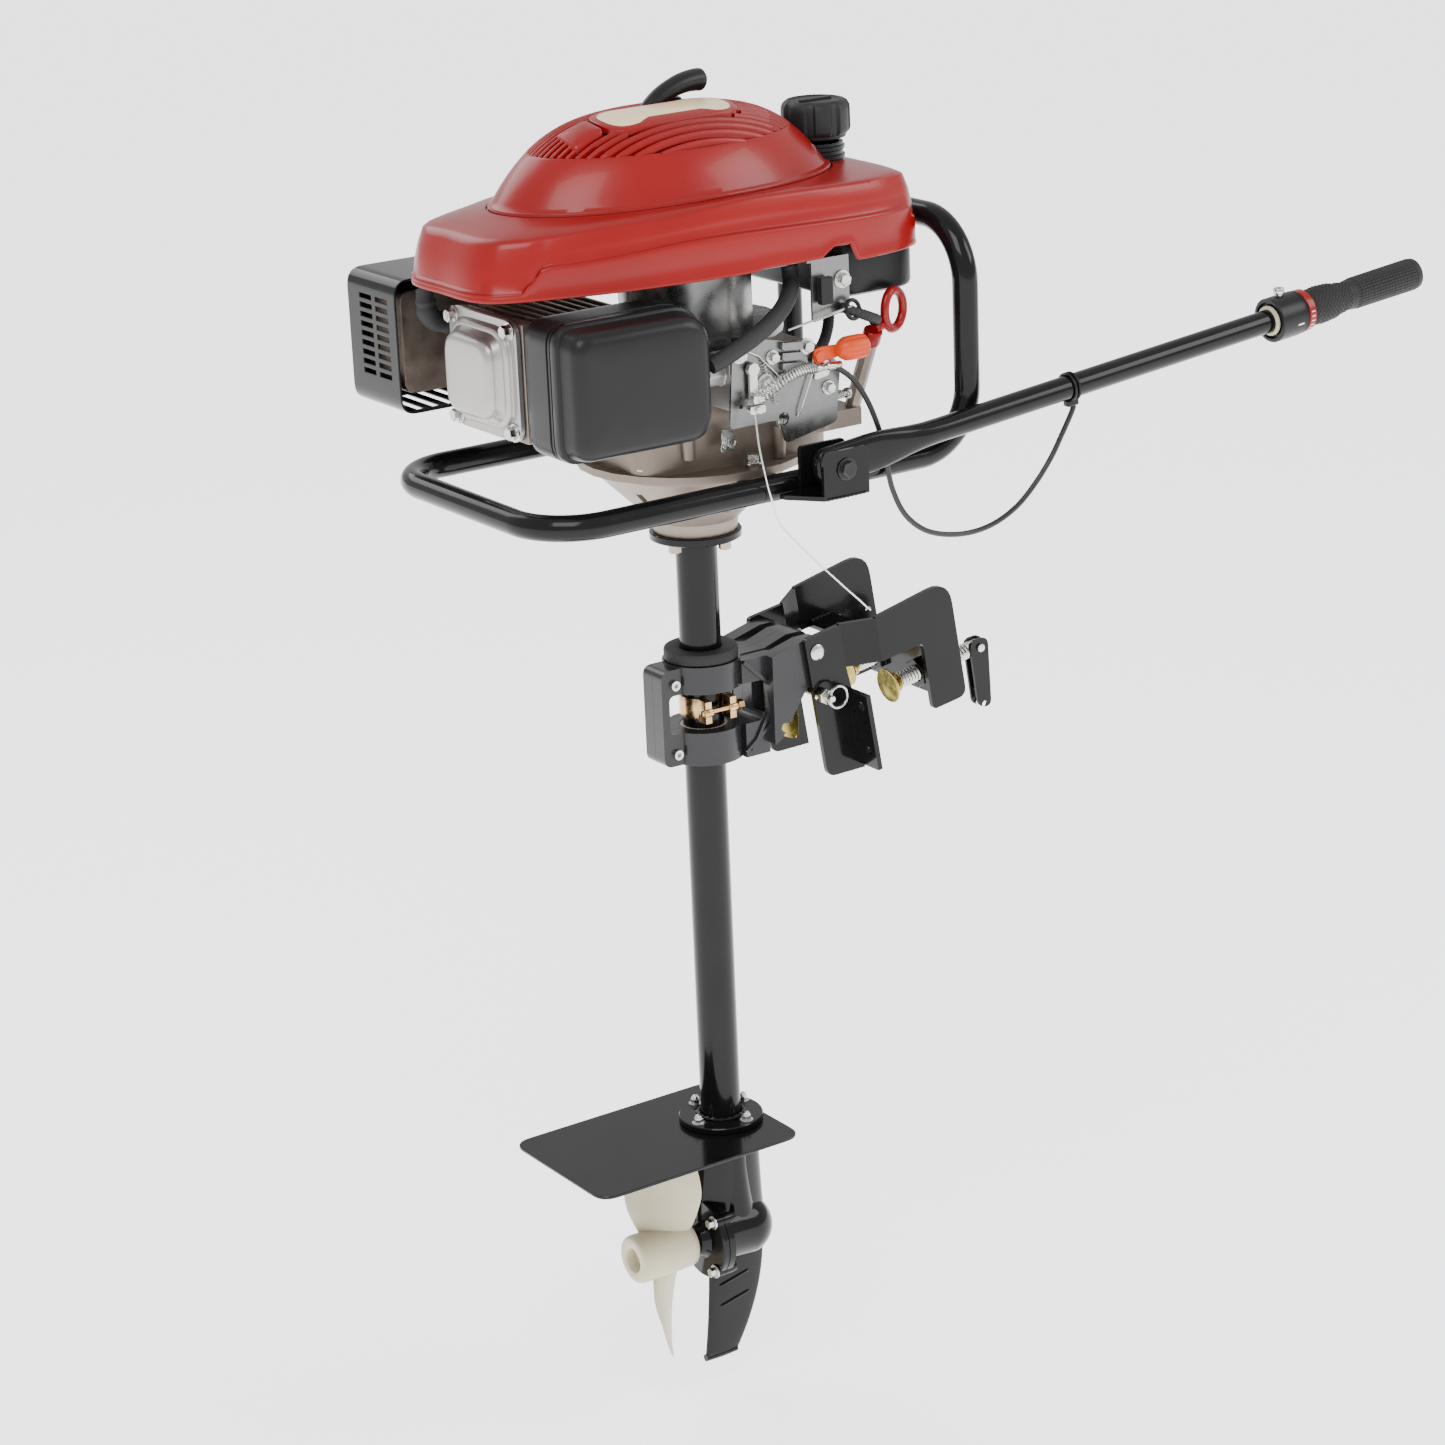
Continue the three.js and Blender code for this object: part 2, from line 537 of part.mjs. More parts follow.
addPart(leg, 'cavitation_plate', cut(
  flatPlate(rectangle(PLATE_REAR, -PLATE_WIDTH / 2, PLATE_FRONT, PLATE_WIDTH / 2), PLATE_T,
    PLATE_TOP - PLATE_T, 16, 5),
  rod(TUBE_ID / 2, 20, 'z', 0, 0, PLATE_TOP, LARGE)), ...BLACK_PAINT);

// gearcase: flange, streamlined strut, torpedo and skeg in one casting
const caseTop = PLATE_TOP - PLATE_T - GAP;
const strutOutline = [];
for (let i = 0; i < STRUT_POINTS; i += 1) {
  const angle = (2 * Math.PI * i) / STRUT_POINTS;
  const along = Math.cos(angle);
  const width = Math.sin(angle) * (along > 0 ? 1 : 1 - 0.35 * along * along);
  strutOutline.push([5 + (STRUT_CHORD / 2) * along, (STRUT_WIDTH / 2) * width]);
}
const GEAR_ROOM_R = CASE_R - 5;
const noseProfile = [[0, CASE_REAR + 8], [CASE_R, CASE_REAR + 8]];
for (let i = 0; i <= 6; i += 1) {
  const angle = (Math.PI / 2) * (i / 6);
  noseProfile.push([CASE_R * Math.cos(angle), CASE_NOSE - CASE_R + CASE_R * Math.sin(angle)]);
}
const alongPropeller = (geometry) => geometry.rotateY(Math.PI / 2).translate(0, 0, PROP_Z);
const CAP_JOINT = CASE_REAR + 8;
const torpedo = alongPropeller(turned(noseProfile, LARGE));
const caseFlange = alongPropeller(turned(
  [[0, CAP_JOINT], [CASE_CAP_R, CAP_JOINT], [CASE_CAP_R, CAP_JOINT + 7], [0, CAP_JOINT + 7]], LARGE));
addPart(leg, 'gearcase', cut(join(
  turned([[0, caseTop - 8], [FOOT_R, caseTop - 8], [FOOT_R, caseTop], [0, caseTop]], LARGE),
  flatPlate(strutOutline, caseTop - 4 - PROP_Z, PROP_Z),
  torpedo, caseFlange,
  sidePlate([[CASE_REAR + 9, PROP_Z], [CASE_REAR + 9, SKEG_Z + 34], [CASE_REAR, SKEG_Z + 2, 3],
    [4, SKEG_Z, 3],
    [18, SKEG_Z + 38], [34, SKEG_Z + 84], [42, PROP_Z]], SKEG_T, 0)),
alongPropeller(rod(CASE_CAP_R + GAP, 60, 'z', 0, 0, CAP_JOINT - 30, LARGE)),
alongPropeller(turned([[0, CAP_JOINT - 5], [GEAR_ROOM_R, CAP_JOINT - 5], [GEAR_ROOM_R, 22], [14, 34],
  [0, 34]], LARGE)),
rod(TUBE_ID / 2 - 4, 140, 'z', 0, 0, caseTop - 50, ROUND)), ...BLACK_PAINT);
const capBore = PROP_SHAFT_D / 2 + RUN;
addPart(leg, 'gearcase_cap', join(
  alongPropeller(turned([[capBore, CAP_JOINT - 14], [16, CAP_JOINT - 14], [20, CAP_JOINT - 8],
    [CASE_CAP_R, CAP_JOINT - 7], [CASE_CAP_R, CAP_JOINT - GAP], [GEAR_ROOM_R - GAP, CAP_JOINT - GAP],
    [GEAR_ROOM_R - GAP, CAP_JOINT + 4], [capBore, CAP_JOINT + 4], [capBore, CAP_JOINT - 14]], LARGE)),
...aroundFlange(4, CASE_CAP_R - 6, 45, (y, z) => hexagon(8, 5, 'x', CAP_JOINT - 9, y, PROP_Z + z))),
  ...BLACK_PAINT);

// ---- drive train ---------------------------------------------------------
const PINION_R = 11;
const GEAR_R = 20;
const crankFoot = ENGINE_BASE_Z - 20;
const driveTop = crankFoot - RUN;
addPart(leg, 'crankshaft', join(
  rod(CRANK_D / 2, CRANK_TOP - crankFoot, 'z', 0, 0, (CRANK_TOP + crankFoot) / 2),
  rod(34, 16, 'z', 0, 0, ENGINE_BASE_Z + 48, ROUND)), ...STEEL);
addPart(leg, 'drive_shaft', join(
  rod(DRIVE_SHAFT_D / 2, driveTop - (PROP_Z + 12), 'z', 0, 0, (driveTop + PROP_Z + 12) / 2, SMALL),
  rod(CRANK_D / 2 + 4, 28, 'z', 0, 0, driveTop - 16, ROUND),
  rod(PINION_R - 4, 8, 'z', 0, 0, PROP_Z + 15, SMALL, PINION_R)), ...STEEL);
addPart(leg, 'flywheel', join(
  turned([[CRANK_D / 2 + GAP, 404], [88, 404], [88, 424], [70, 424], [66, 412], [CRANK_D / 2 + GAP, 412],
    [CRANK_D / 2 + GAP, 404]], LARGE),
  turned([[CRANK_D / 2 + 3, 411], [30, 411], [30, 428], [0, 428], [0, 425], [CRANK_D / 2 + 3, 425],
    [CRANK_D / 2 + 3, 411]], ROUND),
  ...aroundFlange(12, 78, 0, (x, y) => slab(14, 3, 12).rotateZ(Math.atan2(y, x)).translate(x, y, 429))),
    ...CAST_ALUMINIUM);
addPart(leg, 'bevel_gear', alongPropeller(turned([[PROP_SHAFT_D / 2 + GAP, -16], [GEAR_R, -16],
  [GEAR_R, -12],
  [GEAR_R - 6, -9.5], [PROP_SHAFT_D / 2 + GAP, -9.5], [PROP_SHAFT_D / 2 + GAP, -16]], ROUND)), ...STEEL);
addPart(leg, 'propeller_shaft', alongPropeller(rod(PROP_SHAFT_D / 2, -6 - (HUB_REAR + 10), 'z', 0, 0,
  (HUB_REAR + 4) / 2, SMALL)), ...STEEL);

// two-bladed propeller
function blade(turn) {
  const sections = [
    [HUB_R - 6, 34, 62, 9, -2], [42, 56, 50, 7, -3], [66, 74, 38, 6, -2], [88, 66, 30, 5, 4],
      [101, 44, 26, 4, 8], [PROP_R, 20, 24, 3, 10],
  ].map(([radius, chord, pitch, thick, rake]) => {
    const angle = rad(90 - pitch);
    return [[-1, -0.15], [-0.4, -0.5], [0.4, -0.5], [1, -0.15], [1, 0.15], [0.4, 0.5], [-0.4, 0.5],
      [-1, 0.15]].map(([u, v]) => {
      const along = (u * chord) / 2;
      const across = v * thick;
      const x = -70 + rake + along * Math.cos(angle) - across * Math.sin(angle);
      const y = along * Math.sin(angle) + across * Math.cos(angle);
      return [x, -y, radius];
    });
  });
  return loft(sections).rotateX(turn).translate(0, 0, PROP_Z);
}
addPart(leg, 'propeller', cut(join(
  alongPropeller(turned([[0, HUB_REAR], [HUB_R - 2, HUB_REAR], [HUB_R + 1, HUB_REAR + 4],
    [HUB_R, HUB_FRONT - 4], [HUB_R - 2, HUB_FRONT],
    [0, HUB_FRONT]], ROUND)), blade(0), blade(Math.PI)),
alongPropeller(rod(PROP_SHAFT_D / 2 + GAP, 200, 'z', 0, 0, HUB_REAR + 20, SMALL))), 0xc8b996, 0.5, 0);

// ---- engine --------------------------------------------------------------
const crankBore = rod(CRANK_D / 2 + 5.5, 400, 'z', 0, 0, 250, ROUND);
addPart(leg, 'bell_housing', cut(join(
  turned([[0, HEAD_Z + GAP], [38, HEAD_Z + GAP], [40, HEAD_Z + 12], [88, ENGINE_BASE_Z - 12],
    [BASE_R - 12, ENGINE_BASE_Z - 8],
    [BASE_R - 12, ENGINE_BASE_Z - 4 - GAP], [0, ENGINE_BASE_Z - 4 - GAP]], LARGE)),
turned([[0, HEAD_Z - 1], [16, HEAD_Z - 1], [22, HEAD_Z + 14], [78, ENGINE_BASE_Z - 12],
  [78, ENGINE_BASE_Z], [0, ENGINE_BASE_Z]], ROUND),
...aroundFlange(10, 66, 18, (x, y) => slab(34, 7,
  30).rotateY(rad(-48)).rotateZ(Math.atan2(y, x)).translate(x, y, 178))),
...CAST_ALUMINIUM);
const DIP = [150, -108, 322]; // middle of the dipstick's pull ring
const FILLER_TOP = [124, -104, 308]; // mouth of the oil filler, which leans to starboard
const FILLER_LEAN = 25;
const FILLER_LENGTH = 84;
const fillerRod = (radius, from, to, sides) => new THREE.CylinderGeometry(radius, radius, to - from, sides)
  .translate(0, (to + from) / 2, 0).rotateX(Math.PI / 2 + rad(FILLER_LEAN)).translate(...FILLER_TOP);
const bossRing = aroundFlange(6, BASE_R - 10, 30, (x, y) => hexagon(10, 8, 'z', x, y, ENGINE_BASE_Z + 7));
addPart(leg, 'crankcase', cut(join(
  rod(BASE_R, 7, 'z', 0, 0, ENGINE_BASE_Z - 0.5, LARGE),
  flatPlate([[-92, -54, 16], [-66, -68, 24], [86, -88, 46], [112, -40, 30], [112, 40, 30], [86, 88, 46],
    [-66, 68, 24], [-92, 54, 16]], 88, ENGINE_BASE_Z),
  rod(70, 26, 'z', 0, 0, CRANKCASE_TOP - 13, ROUND),
  fillerRod(7, -FILLER_LENGTH, 0, SMALL),
  slab(52, 34, 16, FILLER_TOP[0] - 22, FILLER_TOP[1] + 38, FILLER_TOP[2] - 70),
  ...bossRing),
fillerRod(4, 8 - FILLER_LENGTH, 9, SMALL),
rod(69, 78, 'z', 0, 0, ENGINE_BASE_Z + 45, LARGE), slab(120, 60, 60, -10, 0, ENGINE_BASE_Z + 45),
  crankBore), ...CAST_ALUMINIUM);

const HEAD_X = -202;
const CYLINDER_FOOT = -93.5;
const CYLINDER_Z = 315;
const finCount = 9;
const fins = Array.from({ length: finCount }, (_, i) =>
  slab(3.5, 106, 98, -100 - i * 11, 2, CYLINDER_Z + 2));
const BORE_D = 40;
addPart(leg, 'cylinder', cut(
  join(slab(CYLINDER_FOOT - HEAD_X - 3, 62, 62, (CYLINDER_FOOT + HEAD_X + 3) / 2, 2, CYLINDER_Z),
    slab(8, 112, 104, HEAD_X + 5, 2, CYLINDER_Z), ...fins),
  rod(BORE_D / 2, 98, 'x', -141, 2, CYLINDER_Z, LARGE)), ...CAST_ALUMINIUM);
addPart(leg, 'valve_cover', join(
  crossPlate(rectangle(-52, 264, 58, 370), 5, HEAD_X - 5 - GAP, 14),
  loft([[0, 8], [16, 14], [23, 20]].map(([depth, inset]) => {
    const x = HEAD_X - 4 - GAP - depth;
    const [y0, y1, z0, z1] = [-52 + inset, 58 - inset, 264 + inset, 370 - inset];
    return [[x, y0, z0 + 12], [x, y0, z1 - 12], [x, y0 + 12, z1], [x, y1 - 12, z1], [x, y1, z1 - 12],
      [x, y1, z0 + 12], [x, y1 - 12, z0], [x, y0 + 12, z0]];
  })),
  ...[[-42, 274], [-42, 360], [48, 360],
    [48, 274]].map(([y, z]) => hexagon(8, 5, 'x', HEAD_X - 7, y, z))), 0xafaaa8, 0.35, 0.85);

// muffler inside a slotted sheet guard that is open to starboard
const GUARD = { rear: -240, front: -104, inner: 94, outer: 178, bottom: 268, top: 388 };
const slots = [];
for (let row = 0; row < 9; row += 1) {
  for (const y of [118, 146]) slots.push(slab(30, 21, 4.4, GUARD.rear, y, 300 + row * 8.4));
}
for (let i = 0; i < 7; i += 1) slots.push(slab(8, 60, 20, GUARD.rear + 24 + i * 16, 132, GUARD.bottom));
const guardSide = (grow) => [
  [GUARD.rear + grow, GUARD.bottom + grow, 16 - grow], [GUARD.front - grow, GUARD.bottom + grow, 16 - grow],
  [GUARD.front - grow, GUARD.top - grow, 16 - grow], [GUARD.rear + grow, GUARD.top - grow, 16 - grow]];
const guardDepth = GUARD.outer - GUARD.inner;
addPart(leg, 'muffler_guard', cut(
  sidePlate(guardSide(0), guardDepth, (GUARD.inner + GUARD.outer) / 2),
  sidePlate(guardSide(2), guardDepth, (GUARD.inner + GUARD.outer) / 2 - 2),
  ...slots), ...BLACK_PAINT);
addPart(leg, 'muffler', cut(join(
  sidePlate([[GUARD.rear + 14, GUARD.bottom + 14, 12], [GUARD.front - 14, GUARD.bottom + 14, 12],
    [GUARD.front - 14, GUARD.top - 14, 12], [GUARD.rear + 14, GUARD.top - 14, 12]], 60, GUARD.inner + 46),
  rod(13, 36, 'y', -160, GUARD.inner + 2, CYLINDER_Z - 6, SMALL)),
slab(GUARD.front - GUARD.rear - 34, 54, 72, (GUARD.front + GUARD.rear) / 2, GUARD.inner + 46,
  (GUARD.bottom + GUARD.top) / 2),
rod(10, 60, 'y', -160, GUARD.inner + 4, CYLINDER_Z - 6, SMALL)), 0x4a4643, 0.7, 0.7);

// air filter: base on the carburettor side and a domed cover to starboard
const FILTER = { rear: -212, front: -66, inner: -71, joint: -114, outer: -150, bottom: 258, top: 377 };
const filterFace = (grow) => [
  [FILTER.rear + grow, FILTER.bottom + grow, 18], [FILTER.front - grow, FILTER.bottom + grow + 6, 24],
  [FILTER.front - grow, FILTER.top - grow - 4, 30], [FILTER.rear + grow, FILTER.top - grow, 18]];
addPart(leg, 'air_filter_base', cut(
  sidePlate(filterFace(0), FILTER.inner - FILTER.joint, (FILTER.inner + FILTER.joint) / 2),
  sidePlate(filterFace(3), 38, FILTER.joint + 16)), ...BLACK_PLASTIC);
const filterRing = (grow, y) => {
  const [x0, x1, z0, z1] = [FILTER.rear + grow, FILTER.front - grow, FILTER.bottom + grow,
    FILTER.top - grow];
  return [[x0 + 14, y, z0], [x1 - 18, y, z0 + 6], [x1 - 6, y, z0 + 12], [x1, y, z0 + 26],
    [x1, y, z1 - 28], [x1 - 8, y, z1 - 12], [x1 - 24, y, z1 - 4],
    [x0 + 14, y, z1], [x0 + 4, y, z1 - 4], [x0, y, z1 - 14], [x0, y, z0 + 14], [x0 + 4, y, z0 + 4]];
};
const filterSkin = (wall) => loft([
  filterRing(wall, FILTER.joint - GAP + (wall > 0 ? 1 : 0)), filterRing(wall, FILTER.joint - 8),
  filterRing(3 + wall, FILTER.joint - 12), filterRing(6 + wall, FILTER.outer + 10 + wall / 2),
    filterRing(16 + wall, FILTER.outer + wall)]);
addPart(leg, 'air_filter_cover', cut(filterSkin(0), filterSkin(3)), ...BLACK_PLASTIC);

// carburettor, stamped control plate and throttle gear on the starboard side
addPart(leg, 'carburettor', join(
  slab(56, 30, 48, -10, -106, 300),
  rod(15, 24, 'z', -10, -106, 272, SMALL),
  rod(11, 30, 'x', -50 + 10, -106, 308, SMALL)), ...BRIGHT_ZINC);
addPart(leg, 'control_plate', cut(join(
  sidePlate([[-42, 262, 4], [10, 262], [16, 240, 4], [70, 250, 4], [76, 300, 6], [58, 318], [36, 326, 4],
    [-36, 342, 4]], 2.5, -124),
  slab(24, 14, 2.5, 66, -117, 300)),
rod(2, 10, 'y', -30, -124, 280, SMALL), rod(6, 10, 'y', 14, -124, 262, SMALL),
  rod(3, 10, 'y', 44, -124, 310, SMALL)), ...BRIGHT_ZINC);
const THROTTLE_PIVOT = [-20, -130, 312];
addPart(leg, 'throttle_lever', join(
  rod(6, 5, 'y', ...THROTTLE_PIVOT, SMALL),
  slab(8, 3, 26, THROTTLE_PIVOT[0], THROTTLE_PIVOT[1], THROTTLE_PIVOT[2] - 12),
  rod(4, 8, 'y', THROTTLE_PIVOT[0], THROTTLE_PIVOT[1] - 2, THROTTLE_PIVOT[2] - 24, SMALL)), ...BRIGHT_ZINC);
const CHOKE_PIVOT = [50, -129, 312];
addPart(leg, 'choke_lever', join(
  rod(5, 5, 'y', ...CHOKE_PIVOT, SMALL),
  slab(26, 3, 7, CHOKE_PIVOT[0] + 13, CHOKE_PIVOT[1], CHOKE_PIVOT[2] + 2),
  rod(7, 28, 'x', CHOKE_PIVOT[0] + 32, CHOKE_PIVOT[1] - 7, CHOKE_PIVOT[2] + 4, SMALL, 10)), 0xe1501e, 0.5,
    0);
const SWITCH_AT = [66, -118, 366];
const ROCKER_CLEARANCE = 2.2; // so that the rocker can tip
addPart(leg, 'stop_switch', slab(13, 7, 24, SWITCH_AT[0], SWITCH_AT[1] - ROCKER_CLEARANCE, SWITCH_AT[2]),
  0x18181a, 0.5, 0);
addPart(leg, 'breather_hose', hose([[FILTER.front + 1, -133, 323], [-50, -134, 328], [-20, -133, 340], [10, -123, 351],
  [34, -108, 361], [47, -96, 371], [50, -91, 380], [50, -90, 386]], 15, 10, 14), 0x1e1e20, 0.6, 0);

// fuel tank with its filler neck
addPart(leg, 'fuel_tank', cut(join(
  flatPlate(rectangle(97, -96, 186, 96), 66, 348, 22),
  rod(NECK_R, 62, 'z', TANK_NECK_X, 0, 440, ROUND)),
flatPlate(rectangle(100, -93, 183, 93), 60, 351, 19, 2),
rod(NECK_R - 3, 100, 'z', TANK_NECK_X, 0, 440, ROUND)), ...BLACK_PLASTIC);
addPart(leg, 'fuel_hose', hose([[112, -60, 344], [108, -66, 334], [96, -80, 322], [78, -96, 312],
  [60, -104, 304], [40, -106, 300]], 10, 10, 14), 0x1e1e20, 0.6, 0);
const fluted = [];
for (let i = 0; i < 24; i += 1) {
  const angle = (2 * Math.PI * i) / 24;
  const r = CAP_R - (i % 3 === 0 ? 2.5 : 0);
  fluted.push([r * Math.cos(angle), r * Math.sin(angle)]);
}
addPart(leg, 'fuel_cap', cut(join(
  flatPlate(fluted, CAP_H - 14, CAP_Z + 11).translate(TANK_NECK_X, 0, 0),
  rod(CAP_R - 4, 12, 'z', TANK_NECK_X, 0, CAP_Z + 6, ROUND),
  rod(CAP_R - 5, 3, 'z', TANK_NECK_X, 0, CAP_Z + CAP_H - 2, ROUND)),
rod(NECK_R - 1, 3, 'z', TANK_NECK_X, 0, CAP_Z - 0.5, ROUND)), 0x1c1c1e, 0.6, 0);

// red D-ring dipstick in the filler tube
const fillerPlug = 14;
const ringHandle = cut(flatPlate([[-13, -15, 4], [-1, -15, 8], [14, -10, 12], [14, 10, 12], [-1, 15, 8],
  [-13, 15, 4]], 6, -3, 0, 5),
  flatPlate([[-7, -8, 3], [0, -8, 6], [8, -5, 6], [8, 5, 6], [0, 8, 6], [-7, 8, 3]], 8, -4, 0, 5));
addPart(leg, 'dipstick', join(
  ringHandle.rotate([90, 0, 0]).rotate([0, -18, 0]).translate([DIP[0], DIP[1] + 4, DIP[2] + 12]),
  rod(5, 34, 'x', DIP[0] - 18, DIP[1] + 2, DIP[2] - 2, SMALL),
  fillerRod(8.5, GAP, GAP + fillerPlug, SMALL),
  fillerRod(1.6, 14 - FILLER_LENGTH, 4, SMALL)), 0xaf1e20, 0.4, 0);

// spark plug boot beside the head
addPart(leg, 'spark_plug_boot', join(
  rod(9, 30, 'x', -210, 74, 350, SMALL), rod(8, 40, 'z', -220, 74, 362, SMALL)), 0x1a1a1c,
    0.6, 0);

// ---- shroud --------------------------------------------------------------
const DOME = { x: -19, length: 165, width: 92, base: 456, rise: SHROUD_TOP - 456 };
const DOME_POWER = 3.6; // how flat the dome is on top
const BAND_TOP = 422; // top of the proud band round the sides
const shroudPlan = (grow) => [
  [-246 - grow, 0], [-244 - grow, 50 + grow], [-221 - grow, 76 + grow], [-150, 101 + grow], [-70, 115 + grow],
  [28, 120 + grow], [120, 118 + grow], [172 + grow, 104 + grow], [188 + grow, 80 + grow], [192 + grow, 0],
];
function planPoints(grow) {
  const half = shroudPlan(grow);
  const full = [...half, ...half.slice(1, -1).reverse().map(([x, y]) => [x, -y])];
  const curve = new THREE.CatmullRomCurve3(full.map(([x, y]) => new THREE.Vector3(x, y, 0)), true,
    'centripetal');
  return curve.getSpacedPoints(PLAN_POINTS).slice(0, PLAN_POINTS);
}
// the height of the deck's outer edge, which rises from the rear to the middle
const deckEdge = (x) => 441 + 14 * THREE.MathUtils.smoothstep(x, -240, 10);
function shroudSkin(inset, bottom) {
  const plan = planPoints(-inset);
  const side = (scale, height) => plan.map((p) => [p.x * scale, p.y * scale, height(p.x)]);
  const dome = (share, height) => plan.map((p) => {
    const angle = Math.atan2(p.y / DOME.width, (p.x - DOME.x) / DOME.length);
    return [DOME.x + (DOME.length * share - inset) * Math.cos(angle),
      (DOME.width * share - inset) * Math.sin(angle), height - inset];
  });
  const crown = [0.93, 0.85, 0.77, 0.6, 0.36].map((share) =>
    dome(share, DOME.base + DOME.rise * (1 - share ** DOME_POWER)));
  return loft([
    side(1, () => bottom),
    side(1, () => BAND_TOP - inset),
    side(0.975, () => BAND_TOP + 3 - inset),
    side(0.94, (x) => deckEdge(x) - inset),
    dome(1, DOME.base),
    ...crown,
  ]);
}
const neckClear = rod(NECK_R + 3, 120, 'z', TANK_NECK_X, 0, 440, ROUND);
const shroudHollow = shroudSkin(SHROUD_WALL, SHROUD_RIM - 1);
const capClear = rod(CAP_R + 2, 60, 'z', TANK_NECK_X, 0, CAP_Z + 28, ROUND);
const tankClear = flatPlate(rectangle(95, -98, 188, 98), 70, 346, 22);
const STARTER_X = 12;
const STARTER_Y = 26;
addPart(leg, 'shroud', cut(shroudSkin(0, SHROUD_RIM), shroudHollow, neckClear, capClear, tankClear,
  rod(4, 60, 'z', STARTER_X, STARTER_Y, SHROUD_TOP, SMALL),
  slab(40, 26, 20, -112, 0, SHROUD_TOP - 2)), ...RED_PLASTIC);
const SWITCH_BRACKET_Y = SWITCH_AT[1] + 5;
const blowerTop = SHROUD_RIM + 1;
addPart(leg, 'blower_housing', cut(join(
  flatPlate([[-150, -84, 40], [60, -100, 50], [90, -60, 20], [90, 60, 20], [60, 100, 50], [-150, 84, 40]],
    5, blowerTop - 5),
  rod(86, 8, 'z', 0, 0, CRANKCASE_TOP + GAP + 4, LARGE),
  rod(60, blowerTop - CRANKCASE_TOP - 2, 'z', 0, 0, (blowerTop + CRANKCASE_TOP) / 2 - 1, ROUND),
  sidePlate([[56, 338, 3], [96, 344, 6], [96, blowerTop, 0], [56, blowerTop, 0]], 2.5, SWITCH_BRACKET_Y),
  slab(40, 34, 2.5, 72, SWITCH_BRACKET_Y + 16, blowerTop - 1.25)),
rod(CRANK_D / 2 + 5.5, 400, 'z', 0, 0, 350, ROUND), rod(54, 62, 'z', 0, 0, CRANKCASE_TOP + 29, ROUND),
rod(3.3, 20, 'y', 88, SWITCH_BRACKET_Y, 372, SMALL)), ...BRIGHT_ZINC);

// recoil starter handle with the rope that runs down into the shroud
addPart(leg, 'recoil_handle', join(
  rod(2, 60, 'z', STARTER_X, STARTER_Y, SHROUD_TOP - 20, 8),
  sidePlate([[STARTER_X - 40, SHROUD_TOP + 2, 6], [STARTER_X - 20, SHROUD_TOP + 14, 8],
    [STARTER_X + 18, SHROUD_TOP + 19, 8],
    [STARTER_X + 32, SHROUD_TOP + 17, 5], [STARTER_X + 30, SHROUD_TOP + 8, 5],
      [STARTER_X + 6, SHROUD_TOP + 5, 6],
    [STARTER_X - 16, SHROUD_TOP + 1.2, 6]], 16, STARTER_Y)), ...BLACK_PLASTIC);

// ---- frame tube and tiller bracket --------------------------------------
const frameCorners = (overlap) => [
  [FRAME_REAR, overlap, FRAME_Z], [FRAME_REAR, -FRAME_HALF_WIDTH, FRAME_Z],
    [FRAME_FRONT, -FRAME_HALF_WIDTH, FRAME_Z],
  [FRAME_FRONT, -FRAME_HALF_WIDTH, FRAME_TOP], [FRAME_FRONT, overlap, FRAME_TOP]];
const frameHalf = bentTube(frameCorners(0.5), FRAME_D, FRAME_BEND, 12);
const frameBore = bentTube(frameCorners(1), FRAME_D - 2 * FRAME_WALL, FRAME_BEND, 8);
const drainHole = rod(2, FRAME_D, 'z', FRAME_REAR, -20, FRAME_Z - FRAME_D / 2, 8);
const tabOuter = FRAME_HALF_WIDTH - FRAME_D / 2 + 3;
const mountTab = (x) => slab(40, tabOuter - (BASE_R - 8), 4.5, x, -(tabOuter + BASE_R - 8) / 2,
  ENGINE_BASE_Z - 4 - GAP - 2.25);
const frameSide = cut(join(frameHalf, mountTab(0)), frameBore, drainHole);
addPart(leg, 'frame_tube', frameSide.add(frameSide.scale([1, -1, 1])), ...BLACK_PAINT);

const CHANNEL_FLOOR = 200;
const CHANNEL_INNER = -(FRAME_HALF_WIDTH + FRAME_D / 2 + GAP);
const CHEEK_T = 3.5;
const CHANNEL_OUTER = 2 * TILLER_Y - CHANNEL_INNER;
const boltHole = rod(4.3, 60, 'y', TILLER_BOLT_X, TILLER_Y, TILLER_BOLT_Z, SMALL);
const channelCheek = (y) => sidePlate([[TILLER_BOLT_X - 24, CHANNEL_FLOOR, 0],
  [TILLER_BOLT_X + 24, CHANNEL_FLOOR, 0],
  [TILLER_BOLT_X + 24, CHANNEL_FLOOR + 42, 4], [TILLER_BOLT_X - 24, CHANNEL_FLOOR + 42, 4]], CHEEK_T, y);
addPart(leg, 'tiller_bracket', cut(join(
  channelCheek(CHANNEL_INNER - CHEEK_T / 2), channelCheek(CHANNEL_OUTER + CHEEK_T / 2),
  flatPlate([[TILLER_BOLT_X - 46, CHANNEL_INNER - 3], [TILLER_BOLT_X + 24, CHANNEL_INNER],
    [TILLER_BOLT_X + 24, CHANNEL_OUTER],
    [TILLER_BOLT_X - 24, CHANNEL_OUTER], [TILLER_BOLT_X - 46, CHANNEL_INNER - 10]].reverse(), 4,
      CHANNEL_FLOOR)),
boltHole), ...BLACK_PAINT);
const boltSpan = CHANNEL_INNER - CHANNEL_OUTER;
addPart(leg, 'tiller_bolt', join(
  rod(4, boltSpan + 8, 'y', TILLER_BOLT_X, TILLER_Y - 2, TILLER_BOLT_Z, SMALL),
  hexagon(13, 5.5, 'y', TILLER_BOLT_X, CHANNEL_OUTER - GAP - 2.75, TILLER_BOLT_Z)), 0x1c1c1e, 0.4, 0.6);

// ---- tiller --------------------------------------------------------------
const tiller = new THREE.Group();
tiller.position.set(TILLER_BOLT_X, TILLER_Y, TILLER_BOLT_Z);
tiller.rotation.y = -rad(TILLER_PITCH);
leg.add(tiller);

